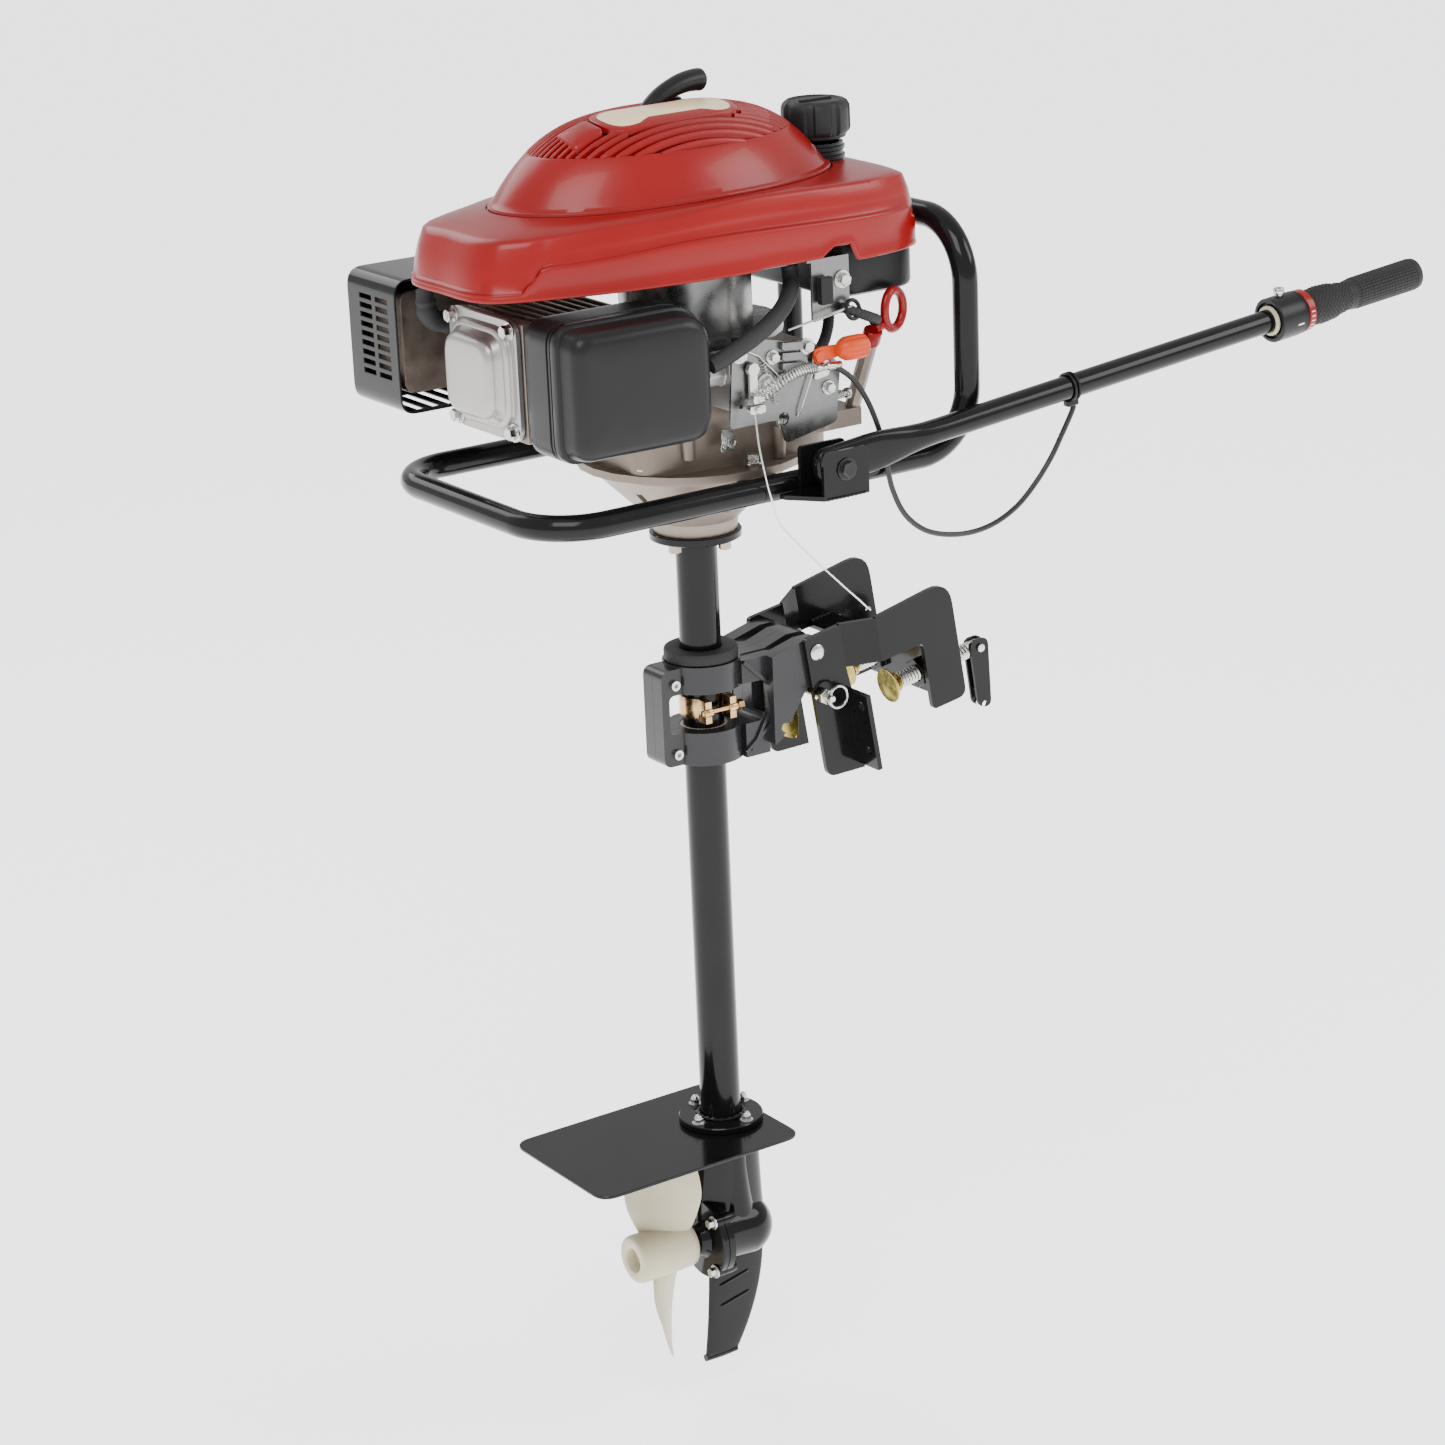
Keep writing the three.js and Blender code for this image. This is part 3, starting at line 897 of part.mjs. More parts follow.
const FLAT_HEIGHT = 34;
const FLAT_THICK = 13;
function armRing(x, height, thick, roundness) {
  const ring = [];
  for (let i = 0; i < 20; i += 1) {
    const angle = (2 * Math.PI * i) / 20;
    const bend = (value) => Math.sign(value) * Math.abs(value) ** roundness;
    ring.push([x, (thick / 2) * bend(Math.cos(angle)), (height / 2) * bend(Math.sin(angle))]);
  }
  return ring;
}
const SPIGOT_D = 15;
const CABLE_D = 5;
const CABLE_ENTRY = 270; // along the arm from its bolt
const gripStart = TILLER_LENGTH + COLLAR_LENGTH;
addPart(tiller, 'tiller_arm', cut(join(
  loft([armRing(-15, FLAT_HEIGHT - 8, FLAT_THICK, 0.6), armRing(-8, FLAT_HEIGHT, FLAT_THICK, 0.6),
    armRing(44, FLAT_HEIGHT, FLAT_THICK, 0.6),
    armRing(86, TILLER_D + 3, TILLER_D - 4, 0.9), armRing(110, TILLER_D, TILLER_D, 1),
      armRing(TILLER_LENGTH + 4, TILLER_D, TILLER_D, 1)]),
  rod(SPIGOT_D / 2, COLLAR_LENGTH + GRIP_LENGTH - 14, 'x',
    TILLER_LENGTH + (COLLAR_LENGTH + GRIP_LENGTH - 14) / 2, 0, 0, SMALL)),
rod(4 + RUN, 60, 'y', 0, 0, 0, SMALL),
rod(TILLER_D / 2 - FRAME_WALL, TILLER_LENGTH - 120, 'x', TILLER_LENGTH / 2 + 55, 0, 0, ROUND),
rod(CABLE_D / 2 + 1, TILLER_D, 'z', CABLE_ENTRY, 0, -TILLER_D / 2, SMALL)), ...BLACK_PAINT);
addPart(tiller, 'throttle_collar', join(cut(
  rod(21, COLLAR_LENGTH - 2, 'x', TILLER_LENGTH + COLLAR_LENGTH / 2 - 1, 0, 0, ROUND),
  rod(TILLER_D / 2 + GAP, 20, 'x', TILLER_LENGTH - 4, 0, 0, ROUND),
  rod(SPIGOT_D / 2 + GAP, 80, 'x', TILLER_LENGTH + 20, 0, 0, ROUND)),
hexagon(10, 9, 'z', TILLER_LENGTH + 14, 0, 24)), ...BLACK_PLASTIC);
const along = (points, sides) => turned(points, sides).rotateY(Math.PI / 2);
const gripCore = SPIGOT_D / 2 + RUN;
const gripEnd = gripStart + GRIP_LENGTH;
addPart(tiller, 'throttle_ring',
  along([[gripCore, gripStart], [20, gripStart], [20, gripStart + 8], [gripCore, gripStart + 8],
  [gripCore, gripStart]], 32), 0xb22a26, 0.45, 0);
addPart(tiller, 'throttle_grip',
  along([[gripCore, gripStart + 8 + GAP], [15, gripStart + 8 + GAP], [18, gripStart + 22],
  [17.5, gripStart + 40], [13.5, gripStart + 58], [GRIP_D / 2 - 1, gripStart + 66],
    [GRIP_D / 2, gripEnd - 4],
  [GRIP_D / 2 - 3, gripEnd], [0, gripEnd], [0, gripEnd - 10], [gripCore, gripEnd - 10],
    [gripCore, gripStart + 8 + GAP]], 32), 0x18181a, 0.8, 0);

// ---- control cable and its bare inner wire -------------------------------
const WIRE_D = 1.6;
const railSide = -(FRAME_HALF_WIDTH + FRAME_D / 2);
const cableRoute = [
  [54, -133, 303], [66, -133, 300], [80, -136, 289], [90, -141, 272], [96, railSide - 0.5, 252],
  [101, railSide - 4.1, 230], [105, railSide - 4.1, 208], [110, railSide - 4.5, 186],
    [120, railSide - 7.5, 163],
  [138, railSide - 10.5, 146], [162, TILLER_Y + 7, 137], [190, TILLER_Y + 6, 134], [216, TILLER_Y + 5, 138],
  [240, TILLER_Y + 4, 149], [260, TILLER_Y + 3, 166], [278, TILLER_Y + 2, 187], [291, TILLER_Y + 1, 208],
  [300, TILLER_Y, 224], [304, TILLER_Y, 232]];
addPart(leg, 'throttle_cable', hose(cableRoute, CABLE_D, 8, 34), 0x151517, 0.45, 0);
const wireRoute = [
  [-26, -138.5, 280], [-26, -141, 268], [-27, railSide + 0.5, 248], [-26, railSide - 3.5, 230],
  [-22, railSide - 3.5, 212], [-17, railSide - 3.1, 196], [-12, railSide - 0.5, 184], [-4, -144, 172],
  [10, -139, 158], [28, -133, 141], [48, -126, 123], [68, -118, 106], [88, -110, 89], [105, -103, 75],
    [119, -97, 63]];
addPart(leg, 'inner_wire', hose(wireRoute, WIRE_D, 8, 36), 0xc8c8c6, 0.3, 1);

export default motor;
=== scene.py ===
import json
import math
from math import cos, sin, pi, radians, hypot

import bmesh
import bpy
from mathutils import Matrix, Vector


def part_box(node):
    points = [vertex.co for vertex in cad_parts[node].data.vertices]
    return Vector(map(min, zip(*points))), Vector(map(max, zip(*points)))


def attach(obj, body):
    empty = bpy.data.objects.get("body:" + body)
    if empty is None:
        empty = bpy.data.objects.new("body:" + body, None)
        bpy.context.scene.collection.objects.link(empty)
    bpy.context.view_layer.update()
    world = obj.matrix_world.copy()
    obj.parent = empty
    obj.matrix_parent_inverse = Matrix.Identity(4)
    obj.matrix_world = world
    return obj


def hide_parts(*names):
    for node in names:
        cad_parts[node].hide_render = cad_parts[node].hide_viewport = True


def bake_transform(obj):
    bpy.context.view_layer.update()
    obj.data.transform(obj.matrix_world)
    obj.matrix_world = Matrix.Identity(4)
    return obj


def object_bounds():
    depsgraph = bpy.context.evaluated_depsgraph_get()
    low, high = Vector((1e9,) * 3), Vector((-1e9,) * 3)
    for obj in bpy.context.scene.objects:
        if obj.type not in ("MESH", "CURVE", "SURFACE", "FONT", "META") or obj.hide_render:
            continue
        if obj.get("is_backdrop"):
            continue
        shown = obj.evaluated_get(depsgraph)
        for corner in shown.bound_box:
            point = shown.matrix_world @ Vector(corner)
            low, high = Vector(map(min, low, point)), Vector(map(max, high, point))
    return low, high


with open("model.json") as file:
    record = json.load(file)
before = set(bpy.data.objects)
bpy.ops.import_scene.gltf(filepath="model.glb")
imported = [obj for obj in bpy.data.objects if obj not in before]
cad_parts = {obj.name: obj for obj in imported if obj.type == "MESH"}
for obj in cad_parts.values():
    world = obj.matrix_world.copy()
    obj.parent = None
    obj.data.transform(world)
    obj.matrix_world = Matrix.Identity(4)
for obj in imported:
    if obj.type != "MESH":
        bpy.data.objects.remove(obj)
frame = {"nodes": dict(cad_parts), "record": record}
cad_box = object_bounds()

# ---- Camera, floor and light ----------------------------------------------
# A pale floor well below the skeg and large soft lamps, so that the black
# enamel has long highlights. The camera stands behind the starboard quarter.
camera = bpy.data.objects.new("camera", bpy.data.cameras.new("camera"))
camera.data.sensor_width = 36
camera.data.lens = 91.9
camera.data.clip_end = 60
forward = Vector((0.52517, 0.78930, -0.31813)).normalized()
level = forward.cross(Vector((0, 0, 1))).normalized()
roll = radians(-2.41)
side = level * cos(roll) + level.cross(forward) * sin(roll)
upward = level.cross(forward) * cos(roll) - level * sin(roll)
camera.matrix_world = Matrix.Translation((-1.930, -2.676, 1.030)) @ Matrix((side, upward,
    -forward)).transposed().to_4x4()
bpy.context.scene.collection.objects.link(camera)
bpy.context.scene.camera = camera

floor_mesh = bpy.data.meshes.new("floor")
FAR = 25
floor_mesh.from_pydata([(-FAR, -FAR, -0.72), (FAR, -FAR, -0.72), (FAR, FAR, -0.72), (-FAR, FAR, -0.72)],
    [], [(0, 1, 2, 3)])
floor = bpy.data.objects.new("floor", floor_mesh)
bpy.context.scene.collection.objects.link(floor)
pale = bpy.data.materials.new("pale floor")
pale.use_nodes = True
pale.node_tree.nodes["Principled BSDF"].inputs["Base Color"].default_value = (0.93, 0.93, 0.93, 1)
pale.node_tree.nodes["Principled BSDF"].inputs["Roughness"].default_value = 0.9
pale.node_tree.nodes["Principled BSDF"].inputs["Emission Color"].default_value = (1, 1, 1, 1)
pale.node_tree.nodes["Principled BSDF"].inputs["Emission Strength"].default_value = 1.8
floor_mesh.materials.append(pale)
floor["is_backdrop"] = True

world = bpy.data.worlds.new("studio")
world.use_nodes = True
world.node_tree.nodes["Background"].inputs["Color"].default_value = (1, 1, 1, 1)
world.node_tree.nodes["Background"].inputs["Strength"].default_value = 0.95
bpy.context.scene.world = world
for name, at, size, power in (("key lamp", (-1.6, -1.4, 2.4), 1.6, 48),
        ("rim lamp", (1.8, -1.6, 1.6), 1.2, 26), ("back lamp", (-0.6, 2.2, 1.9), 1.6, 24),):
    lamp = bpy.data.objects.new(name, bpy.data.lights.new(name, "AREA"))
    lamp.data.size = size
    lamp.data.energy = power
    lamp.location = at
    lamp.rotation_euler = (Vector((-0.17, 0, 0.1)) - Vector(at)).to_track_quat("-Z", "Y").to_euler()
    bpy.context.scene.collection.objects.link(lamp)

# ---- Throttle cable and its bare inner wire -------------------------------
# A Bowden cable in a black plastic sheath runs from the engine's cable stop
# to the tiller; its bare steel inner hangs from the wire clamp, its far end
# twisted over at the bracket.
MM = Matrix.Scale(0.001, 4)
LEG = Matrix.Translation((-0.170, 0, 0)) @ MM  # millimetres from the leg axis
BRACKET = Matrix.Rotation(radians(-9), 4, "Y") @ MM  # the bracket leans back
TILLER = Matrix.Translation((-0.134, -0.166, 0.225)) @ Matrix.Rotation(radians(-5.4), 4, "Y") @ MM
body_of = {n: b for b, names in frame["record"]["behaviour"]["bodies"].items() for n in names}
slot_of = {p["node"]: p["material_slot"] for p in frame["record"]["subparts"]}


def through(points, steps):
    """A smooth line through the points, with even steps in each stretch."""
    points = [Vector(p) for p in points]
    ends = [points[0] * 2 - points[1]] + points + [points[-1] * 2 - points[-2]]
    line = []
    for p0, p1, p2, p3 in zip(ends, ends[1:], ends[2:], ends[3:]):
        for k in range(steps):
            t = k / steps
            line.append(0.5 * (2 * p1 + (p2 - p0) * t + (2 * p0 - 5 * p1 + 4 * p2 - p3) * t * t
                + (3 * p1 - p0 - 3 * p2 + p3) * t ** 3))
    return line + [points[-1]]


def surface(name, colour, rough, metallic=0.0, shade=0.12, grain=0.0014, depth=0.02, patch=0.05,
        spread=0.08, wear=None, coat=0.0, gloss=0.3):
    """A finish whose tone, gloss and grain vary over it; wear is the colour of rubbed edges."""
    made = bpy.data.materials.new(name)
    made.use_nodes = True
    nodes, links = made.node_tree.nodes, made.node_tree.links
    shader = nodes["Principled BSDF"]
    shader.inputs["Metallic"].default_value = metallic
    if coat:
        shader.inputs["Coat Weight"].default_value = coat
        shader.inputs["Coat Roughness"].default_value = 0.08
    shader.inputs["Specular IOR Level"].default_value = gloss

    def noise(size, detail):
        node = nodes.new("ShaderNodeTexNoise")
        node.inputs["Scale"].default_value = 1 / size
        node.inputs["Detail"].default_value = detail
        links.new(place.outputs["Object"], node.inputs["Vector"])
        return node

    def spanned(source, low, high):
        node = nodes.new("ShaderNodeMapRange")
        node.inputs["From Min"].default_value = 0.3
        node.inputs["From Max"].default_value = 0.7
        node.inputs["To Min"].default_value = low
        node.inputs["To Max"].default_value = high
        links.new(source, node.inputs["Value"])
        return node.outputs["Result"]

    place = nodes.new("ShaderNodeTexCoord")
    broad = noise(patch, 4)
    fine = noise(grain, 3)
    tone = nodes.new("ShaderNodeMix")
    tone.data_type = "RGBA"
    links.new(spanned(broad.outputs["Fac"], 0, 1), tone.inputs["Factor"])
    tone.inputs["A"].default_value = (*[c * (1 - shade) for c in colour], 1)
    tone.inputs["B"].default_value = (*[min(1, c * (1 + shade)) for c in colour], 1)
    skin = tone.outputs["Result"]
    if wear:
        rounded_off = nodes.new("ShaderNodeBevel")
        rounded_off.samples = 4
        rounded_off.inputs["Radius"].default_value = 0.0012
        shape = nodes.new("ShaderNodeNewGeometry")
        turn = nodes.new("ShaderNodeVectorMath")
        turn.operation = "DOT_PRODUCT"
        links.new(rounded_off.outputs["Normal"], turn.inputs[0])
        links.new(shape.outputs["Normal"], turn.inputs[1])
        edge = nodes.new("ShaderNodeMapRange")
        edge.inputs["From Min"].default_value = 0.995
        edge.inputs["From Max"].default_value = 0.90
        links.new(turn.outputs["Value"], edge.inputs["Value"])
        rubbed = nodes.new("ShaderNodeMath")
        rubbed.operation = "MULTIPLY"
        links.new(edge.outputs["Result"], rubbed.inputs[0])
        links.new(spanned(noise(0.012, 5).outputs["Fac"], 0, 0.9), rubbed.inputs[1])
        worn = nodes.new("ShaderNodeMix")
        worn.data_type = "RGBA"
        worn.inputs["B"].default_value = (*wear, 1)
        links.new(rubbed.outputs["Value"], worn.inputs["Factor"])
        links.new(skin, worn.inputs["A"])
        skin = worn.outputs["Result"]
    links.new(skin, shader.inputs["Base Color"])
    links.new(spanned(broad.outputs["Fac"], rough * (1 - spread), min(1, rough * (1 + spread))),
        shader.inputs["Roughness"])
    bump = nodes.new("ShaderNodeBump")
    bump.inputs["Strength"].default_value = 0.5
    bump.inputs["Distance"].default_value = depth * 0.001
    links.new(fine.outputs["Fac"], bump.inputs["Height"])
    links.new(bump.outputs["Normal"], shader.inputs["Normal"])
    return made


def linked(name, mesh, finish):
    thing = bpy.data.objects.new(name, mesh)
    mesh.materials.append(finish)
    bpy.context.scene.collection.objects.link(thing)
    return thing


def turns(count):
    """Even angles once round a circle."""
    return [2 * pi * k / count for k in range(count)]


def sweep(path, radius, sides):
    """Rings of points round a path; radius is a number or one for each point."""
    path = [Vector(p) for p in path]
    rings = []
    across = Vector((0.12, 0.31, 1)).normalized()
    for i, p in enumerate(path):
        along = (path[min(i + 1, len(path) - 1)] - path[max(i - 1, 0)]).normalized()
        across = (across - along * across.dot(along)).normalized()
        other = along.cross(across)
        r = radius[i] if isinstance(radius, (list, tuple)) else radius
        rings.append([p + (across * cos(2 * pi * k / sides) + other * sin(2 * pi * k / sides)) * r
            for k in range(sides)])
    return rings


def loft(rings, caps=True, wrap=False):
    """A skin through equal rings of points, as (points, faces)."""
    count = len(rings[0])
    points = [p for ring in rings for p in ring]
    faces = []
    for r in range(len(rings) if wrap else len(rings) - 1):
        low, high = r * count, ((r + 1) % len(rings)) * count
        for i in range(count):
            j = (i + 1) % count
            faces.append((low + i, low + j, high + j, high + i))
    if caps and not wrap:
        faces.append(tuple(reversed(range(count))))
        faces.append(tuple(range(len(points) - count, len(points))))
    return points, faces


def piece(name, parts, place, finish, node=None, body=None, slot=None, sharp=32, bevel=0.0,
        stands_for=()):
    """One object from several skins, placed in the frame, that rides on a body."""
    shape = bmesh.new()
    for points, faces in parts:
        made = [shape.verts.new(place @ Vector(p)) for p in points]
        for face in faces:
            corners = [made[i] for i in face]
            if len(set(corners)) > 2:
                shape.faces.new(corners)
    bmesh.ops.remove_doubles(shape, verts=shape.verts, dist=2e-6)
    bmesh.ops.dissolve_degenerate(shape, edges=shape.edges, dist=1e-6)
    bmesh.ops.recalc_face_normals(shape, faces=shape.faces)
    mesh = bpy.data.meshes.new(name)
    shape.to_mesh(mesh)
    shape.free()
    mesh.polygons.foreach_set("use_smooth", [True] * len(mesh.polygons))
    mesh.set_sharp_from_angle(angle=radians(sharp))
    thing = linked(name, mesh, finish)
    if bevel:
        softened = thing.modifiers.new("soft edges", "BEVEL")
        softened.width = bevel
        softened.segments = 2
        softened.limit_method = "ANGLE"
        softened.angle_limit = radians(sharp)
        softened.harden_normals = True
    if body != "blended":
        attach(thing, body or body_of[node])
    slot or slot_of[node]
    if node:
        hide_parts(node, *stands_for)
    return thing


def extra(name, parts, finish, slot, body="motor", place=LEG):
    """A part that only the looks need, such as a weld or a label."""
    return piece(name, parts, place, finish, body=body, slot=slot)


CABLE_D = 0.005
cable_route = [(-0.116, -0.133, 0.303), (-0.104, -0.133, 0.300), (-0.090, -0.136, 0.289),
    (-0.080, -0.141, 0.272), (-0.074, -0.147, 0.252), (-0.069, -0.1506, 0.230), (-0.065, -0.1506, 0.208),
    (-0.060, -0.151, 0.186), (-0.050, -0.154, 0.163), (-0.032, -0.157, 0.146), (-0.008, -0.159, 0.137),
    (0.020, -0.160, 0.134), (0.046, -0.161, 0.138), (0.070, -0.162, 0.149), (0.090, -0.163, 0.166),
    (0.108, -0.164, 0.187), (0.121, -0.165, 0.208), (0.130, -0.166, 0.224), (0.134, -0.166, 0.232)]
sheath = surface("cable sheath", (0.018, 0.018, 0.02), 0.38, grain=0.0009, depth=0.03, coat=0.2)
HERE = Matrix.Identity(4)
cable_line = through(cable_route, 6)
length_of = lambda line: sum((b - a).length for a, b in zip(line, line[1:]))
throttle_cable = piece("throttle_cable_sheath", [loft(sweep(cable_line, CABLE_D / 2, 16))], HERE, sheath,
    node="throttle_cable", body="blended")
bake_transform(throttle_cable)
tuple(cable_route[0])
round(length_of(cable_line), 3)

WIRE_D = 0.0016
wire_route = [(-0.196, -0.1385, 0.280), (-0.196, -0.141, 0.268), (-0.197, -0.146, 0.248),
    (-0.196, -0.150, 0.230), (-0.192, -0.150, 0.212), (-0.187, -0.1496, 0.196), (-0.182, -0.147, 0.184),
    (-0.174, -0.144, 0.172), (-0.160, -0.139, 0.158), (-0.142, -0.133, 0.141), (-0.122, -0.126, 0.123),
    (-0.102, -0.118, 0.106), (-0.082, -0.110, 0.089), (-0.065, -0.103, 0.075), (-0.051, -0.097, 0.063)]
spring_steel = surface("spring steel", (0.72, 0.72, 0.70), 0.28, 1.0, grain=0.0005)
wire_line = through(wire_route, 6)
wire = piece("bare_inner_wire", [loft(sweep(wire_line, WIRE_D / 2, 12))], HERE, spring_steel,
    node="inner_wire", body="blended")
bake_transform(wire)
twist_line = [(-0.051 + 0.0022 * cos(k * 0.35), -0.097 + 0.0022 * sin(k * 0.35),
    0.0626 + 0.0012 * sin(k * 0.7)) for k in range(34)]
twist = extra("wire_end_twist", [loft(sweep(twist_line, 0.00055, 8))], spring_steel,
    slot_of["inner_wire"], "swivel", HERE)
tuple(wire_route[0])
round(length_of(wire_line), 3)

# ---- Transom bracket ------------------------------------------------------
# Two hooks cut from 5 mm plate, pressed to a jog, welded to a flat strap and
# a cross plate, then enamelled black. Bolts may pass through their flanges.
enamel = surface("black enamel", (0.005, 0.005, 0.0055), 0.17, shade=0.25, grain=0.0016, depth=0.006,
    spread=0.35, wear=(0.022, 0.022, 0.022), coat=0.22, gloss=0.12)
zinc = surface("bright zinc", (0.60, 0.60, 0.58), 0.25, 1.0, depth=0.004, patch=0.006, spread=0.3)


def fitting(name, parts, body="motor", place=LEG):
    """A zinc-plated bolt, screw, clip or rod."""
    return extra(name, parts, zinc, "bright_zinc", body, place)


def dressed(node, finish, edge=0.0006, sharp=32):
    """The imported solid's own shape with softened edges and smooth rounds."""
    shape = bmesh.new()
    shape.from_mesh(frame["nodes"][node].data)
    bmesh.ops.remove_doubles(shape, verts=shape.verts, dist=2e-6)
    bmesh.ops.dissolve_limit(shape, angle_limit=radians(1), verts=shape.verts, edges=shape.edges)
    points = [v.co.copy() for v in shape.verts]
    shape.verts.index_update()
    faces = [tuple(v.index for v in f.verts) for f in shape.faces]
    shape.free()
    return piece(node + "_finished", [(points, faces)], HERE, finish, node=node, bevel=edge, sharp=sharp)


def lathe(profile, axis, centre, steps=64):
    """A turned skin from (radius, distance along) points on axis x, y or z."""
    rings = []
    for r, h in profile:
        ring = []
        for k in range(steps):
            u, v = r * cos(2 * pi * k / steps), r * sin(2 * pi * k / steps)
            ring.append({"x": (h, u, v), "y": (u, h, v), "z": (u, v, h)}[axis])
        rings.append([Vector(centre) + Vector(p) for p in ring])
    return loft(rings, caps=profile[0] != profile[-1])


def prism(outline, axis, start, end, inset=0.0):
    """An outline pulled along an axis, its ends drawn in a little by inset."""
    middle = [sum(p[i] for p in outline) / len(outline) for i in (0, 1)]

    def ring(h, shrink):
        made = []
        for u, v in outline:
            du, dv = u - middle[0], v - middle[1]
            k = 1 - shrink / max(hypot(du, dv), 1e-9)
            a, b = middle[0] + du * k, middle[1] + dv * k
            made.append({"x": (h, a, b), "y": (a, h, b), "z": (a, b, h)}[axis])
        return made
    way = 1 if end > start else -1
    if not inset:
        return loft([ring(start, 0), ring(end, 0)])
    return loft([ring(start, inset), ring(start + way * inset, 0), ring(end - way * inset, 0),
        ring(end, inset)])


def hexagon(across, centre=(0, 0), turn=0.0):
    r = across / math.sqrt(3)
    return [(centre[0] + r * cos(turn + k * pi / 3), centre[1] + r * sin(turn + k * pi / 3))
        for k in range(6)]


def bolt(axis, at, way, across=10, head=5, washer=True, collar=True):
    """A hexagon head with its washer, seated at a point and facing along an axis."""
    u, v = {"x": (at[1], at[2]), "y": (at[0], at[2]), "z": (at[0], at[1])}[axis]
    base = {"x": at[0], "y": at[1], "z": at[2]}[axis]
    centre = {"x": (0, u, v), "y": (u, 0, v), "z": (u, v, 0)}[axis]
    parts = []
    lift = 0.0
    if washer:
        r = across * 0.82
        parts.append(lathe([(0, base), (r, base), (r, base + way * 1.1), (r - 0.4, base + way * 1.4),
            (0, base + way * 1.4)], axis, centre, 28))
        lift = 1.4
    if collar:
        r = across * 0.64
        parts.append(lathe([(0, base + way * lift), (r, base + way * lift),
            (r, base + way * (lift + 0.8)), (0, base + way * (lift + 1.2))], axis, centre, 28))
        lift += 0.8
    parts.append(prism(hexagon(across, (u, v), 0.3), axis, base + way * lift, base + way * (lift + head),
        across * 0.05))
    top = base + way * (lift + head)
    parts.append(lathe([(0, top - way * 0.2), (across * 0.36, top - way * 0.2),
        (across * 0.34, top + way * 0.15), (across * 0.2, top - way * 0.05), (0, top - way * 0.05)], axis,
        centre, 24))
    return parts


def rounded(points, radius=0.0, steps=6):
    """A flat outline with rounded corners; a point may carry its own radius."""
    line = []
    for i, p in enumerate(points):
        here = Vector(p[:2])
        before = Vector(points[i - 1][:2]) - here
        after = Vector(points[(i + 1) % len(points)][:2]) - here
        reach = min(p[2] if len(p) > 2 else radius, before.length * 0.49, after.length * 0.49)
        if reach < 0.01:
            line.append(tuple(here))
            continue
        start, end = here + before.normalized() * reach, here + after.normalized() * reach
        for k in range(steps + 1):
            t = k / steps
            line.append(tuple(start * (1 - t) ** 2 + here * (2 * t * (1 - t)) + end * t * t))
    return line


for node in ("bracket_plate_port", "bracket_plate_starboard", "transom_rest", "clamp_cross_plate"):
    dressed(node, enamel, 0.0008)


def weld(name, path, body, place, radius=2.2):
    """A run of weld: overlapping beads along a seam, enamelled over."""
    line = through(path, max(2, int((Vector(path[-1]) - Vector(path[0])).length / 1.2 / (len(path) - 1))))
    beads = [radius * (0.78 + 0.22 * abs(sin(k * 0.9))) for k in range(len(line))]
    beads[0] = beads[-1] = radius * 0.3
    extra(name, [loft(sweep(line, beads, 10))], enamel, "black_paint", body, place)


for side, y in (("port", 60.9), ("starboard", -60.9)):
    for row, z in (("top", 5.2), ("lower", -0.2)):
        weld(f"strap_weld_{side}_{row}", [(-4, y, z), (9, y, z), (22, y, z)], "bracket", BRACKET)

# ---- Tilt pin and trim pin ------------------------------------------------
# A zinc-plated pivot pin riveted over at both ends; below it the trim pin,
# held by a split pull ring of spring wire, sets the angle of the leg.
low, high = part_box("tilt_pin")
tilt_at = (low + high) / 2
pin_half = (high.y - low.y) / 2
dome = [(0, pin_half), (0.0035, pin_half - 0.0001), (0.0062, pin_half - 0.0007),
    (0.0075, pin_half - 0.0016), (0.0075, pin_half - 0.0024), (0.0064, pin_half - 0.0026)]
piece("tilt_pin_riveted", [lathe([(r, h) for r, h in dome] + [(r, -h) for r, h in reversed(dome)], "y",
    (tilt_at.x, 0, tilt_at.z), 48)], HERE, zinc, node="tilt_pin")
PIN_U, PIN_W = -73.68, -16
ring_line = [(PIN_U + 10 + 10.2 * cos(a), -58.8 + 0.9 * sin(a / 2), PIN_W - 3 + 10.2 * sin(a))
    for a in (k * 4 * pi / 96 for k in range(97))]
piece("trim_pin_with_ring", [lathe([(0, 56.5), (2.6, 56.5), (4, 54), (4, -48), (3.2, -48.4), (3.2, -64.5),
    (2.4, -65.5), (0, -65.5)], "y", (PIN_U, 0, PIN_W), 32),
    prism(hexagon(13, (PIN_U, PIN_W), 0.4), "y", -50.3, -55.6, 0.5), loft(sweep(ring_line, 1.25, 12))],
    BRACKET, zinc, node="trim_pin")

# ---- Clamp screws and folding levers --------------------------------------
# Coarse steel screws run through nuts welded on the cross plate. Each ends in
# a dished swivel pad in yellow zinc, and turns by a flat folding lever.
yellow_zinc = surface("yellow zinc", (0.42, 0.33, 0.08), 0.24, 1.0, shade=0.28, grain=0.0012, depth=0.004,
    patch=0.009, spread=0.3)
CLAMP_Y, CLAMP_W, SCREW_R = 34, -42, 7.9
THREAD = 3.5  # pitch


def threaded(start, end, y, w, outer=SCREW_R, deep=1.3, pitch=THREAD, sides=32):
    """A helical thread on an axis fore and aft."""
    rings = []
    count = int((end - start) / pitch * 8)
    for i in range(count + 1):
        x = start + (end - start) * i / count
        ring = []
        for k in range(sides):
            turn = 2 * pi * k / sides
            wave = abs(((x / pitch - k / sides) % 1) * 2 - 1)
            r = outer - deep * min(1, max(0, wave * 1.5 - 0.25))
            ring.append((x, y + r * cos(turn), w + r * sin(turn)))
        rings.append(ring)
    return loft(rings)


